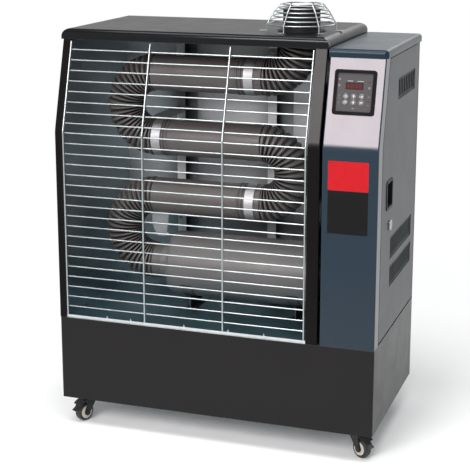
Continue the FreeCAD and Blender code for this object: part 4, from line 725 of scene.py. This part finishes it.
# Reflections of the studio dim from wall to ceiling: strengths, and the heights of the direction
WALL_LEVEL = 1.0
CEILING_LEVEL = 0.3
CEILING_RISE = (0.15, 0.7)
LAMPS = {
    "key_light": ((-0.41, -2.84, 1.97), (0.30, -0.17, 0.78), (1.16, 1.16), 82.0, (1.0, 0.94, 0.95)),
    "top_light": ((0.0, -0.7, 2.9), (0.0, 0.0, 0.6), (2.4, 1.2), 60.0, (1.0, 1.0, 1.0)),
    "back_light": ((0.9, 2.6, 2.5), (0.0, 0.0, 0.5), (2.2, 1.6), 34.0, (1.0, 1.0, 1.0)),
}
CAMERA_PLACE = (0.90979, -2.69927, 1.18)
CAMERA_TILT = math.radians(90 - 12.746)
CAMERA_TURN = math.radians(18.87)
LENS = 98.882
SENSOR = 36.0
SHIFT_Y = -0.1


def seen_directly(tree):
    """One for camera, mirror and glass rays, none for the light that falls on the object."""
    path = tree.nodes.new("ShaderNodeLightPath")
    mirror = math_node(tree, "MAXIMUM", path.outputs["Is Camera Ray"], path.outputs["Is Glossy Ray"])
    return math_node(tree, "MAXIMUM", mirror, path.outputs["Is Transmission Ray"])


def blend_shaders(tree, factor, first, second, target):
    blend = tree.nodes.new("ShaderNodeMixShader")
    tree.links.new(factor, blend.inputs["Fac"])
    tree.links.new(first, blend.inputs[1])
    tree.links.new(second, blend.inputs[2])
    tree.links.new(blend.outputs["Shader"], target)


def make_floor():
    """Pale floor that keeps the shadow near the object and is plain white further out."""
    mesh = bpy.data.meshes.new("floor")
    corners = [(x * FLOOR_EDGE, y * FLOOR_EDGE, 0) for x, y in ((-1, -1), (1, -1), (1, 1), (-1, 1))]
    mesh.from_pydata(corners, [], [(0, 1, 2, 3)])
    floor = bpy.data.objects.new("floor", mesh)
    scene.collection.objects.link(floor)
    material, tree, shader = new_material("pale_floor")
    shader.inputs["Base Color"].default_value = FLOOR_COLOUR
    shader.inputs["Roughness"].default_value = FLOOR_ROUGH
    shader.inputs["Specular IOR Level"].default_value = 0.0
    white = tree.nodes.new("ShaderNodeEmission")
    coords = tree.nodes.new("ShaderNodeTexCoord")
    length = tree.nodes.new("ShaderNodeVectorMath")
    length.operation = "LENGTH"
    tree.links.new(coords.outputs["Object"], length.inputs[0])
    far = spread(tree, length.outputs["Value"], 0.0, 1.0, *FLOOR_FADE)
    factor = math_node(tree, "MULTIPLY", far, seen_directly(tree))
    blend_shaders(tree, factor, shader.outputs["BSDF"], white.outputs["Emission"],
                  tree.nodes["Material Output"].inputs["Surface"])
    mesh.materials.append(material)


def make_world():
    """Soft even light, with a white background for the camera and in reflections."""
    world = bpy.data.worlds.new("studio")
    world.use_nodes = True
    scene.world = world
    tree = world.node_tree
    light = tree.nodes["Background"]
    light.inputs["Color"].default_value = WHITE
    light.inputs["Strength"].default_value = WORLD_LEVEL
    white = tree.nodes.new("ShaderNodeBackground")
    white.inputs["Color"].default_value = WHITE
    path = tree.nodes.new("ShaderNodeLightPath")
    coords = tree.nodes.new("ShaderNodeTexCoord")
    parts = tree.nodes.new("ShaderNodeSeparateXYZ")
    tree.links.new(coords.outputs["Generated"], parts.inputs["Vector"])
    ceiling = spread(tree, parts.outputs["Z"], WALL_LEVEL, CEILING_LEVEL, *CEILING_RISE)
    strength = math_node(tree, "MAXIMUM", ceiling, path.outputs["Is Camera Ray"])
    tree.links.new(strength, white.inputs["Strength"])
    blend_shaders(tree, seen_directly(tree), light.outputs["Background"], white.outputs["Background"],
                  tree.nodes["World Output"].inputs["Surface"])


def softbox(name, place, aim, size, watts, colour):
    data = bpy.data.lights.new(name, "AREA")
    data.shape = "RECTANGLE"
    data.size, data.size_y = size
    data.energy = watts
    data.color = colour
    lamp = bpy.data.objects.new(name, data)
    lamp.location = place
    lamp.rotation_euler = (Vector(aim) - Vector(place)).to_track_quat("-Z", "Y").to_euler()
    lamp.visible_camera = False
    scene.collection.objects.link(lamp)


def make_camera():
    data = bpy.data.cameras.new("camera")
    data.lens = LENS
    data.sensor_width = SENSOR
    data.shift_y = SHIFT_Y
    camera = bpy.data.objects.new("camera", data)
    camera.location = CAMERA_PLACE
    camera.rotation_euler = (CAMERA_TILT, 0, CAMERA_TURN)
    scene.collection.objects.link(camera)
    scene.camera = camera


make_floor()
make_world()
for name, setting in LAMPS.items():
    softbox(name, *setting)
make_camera()
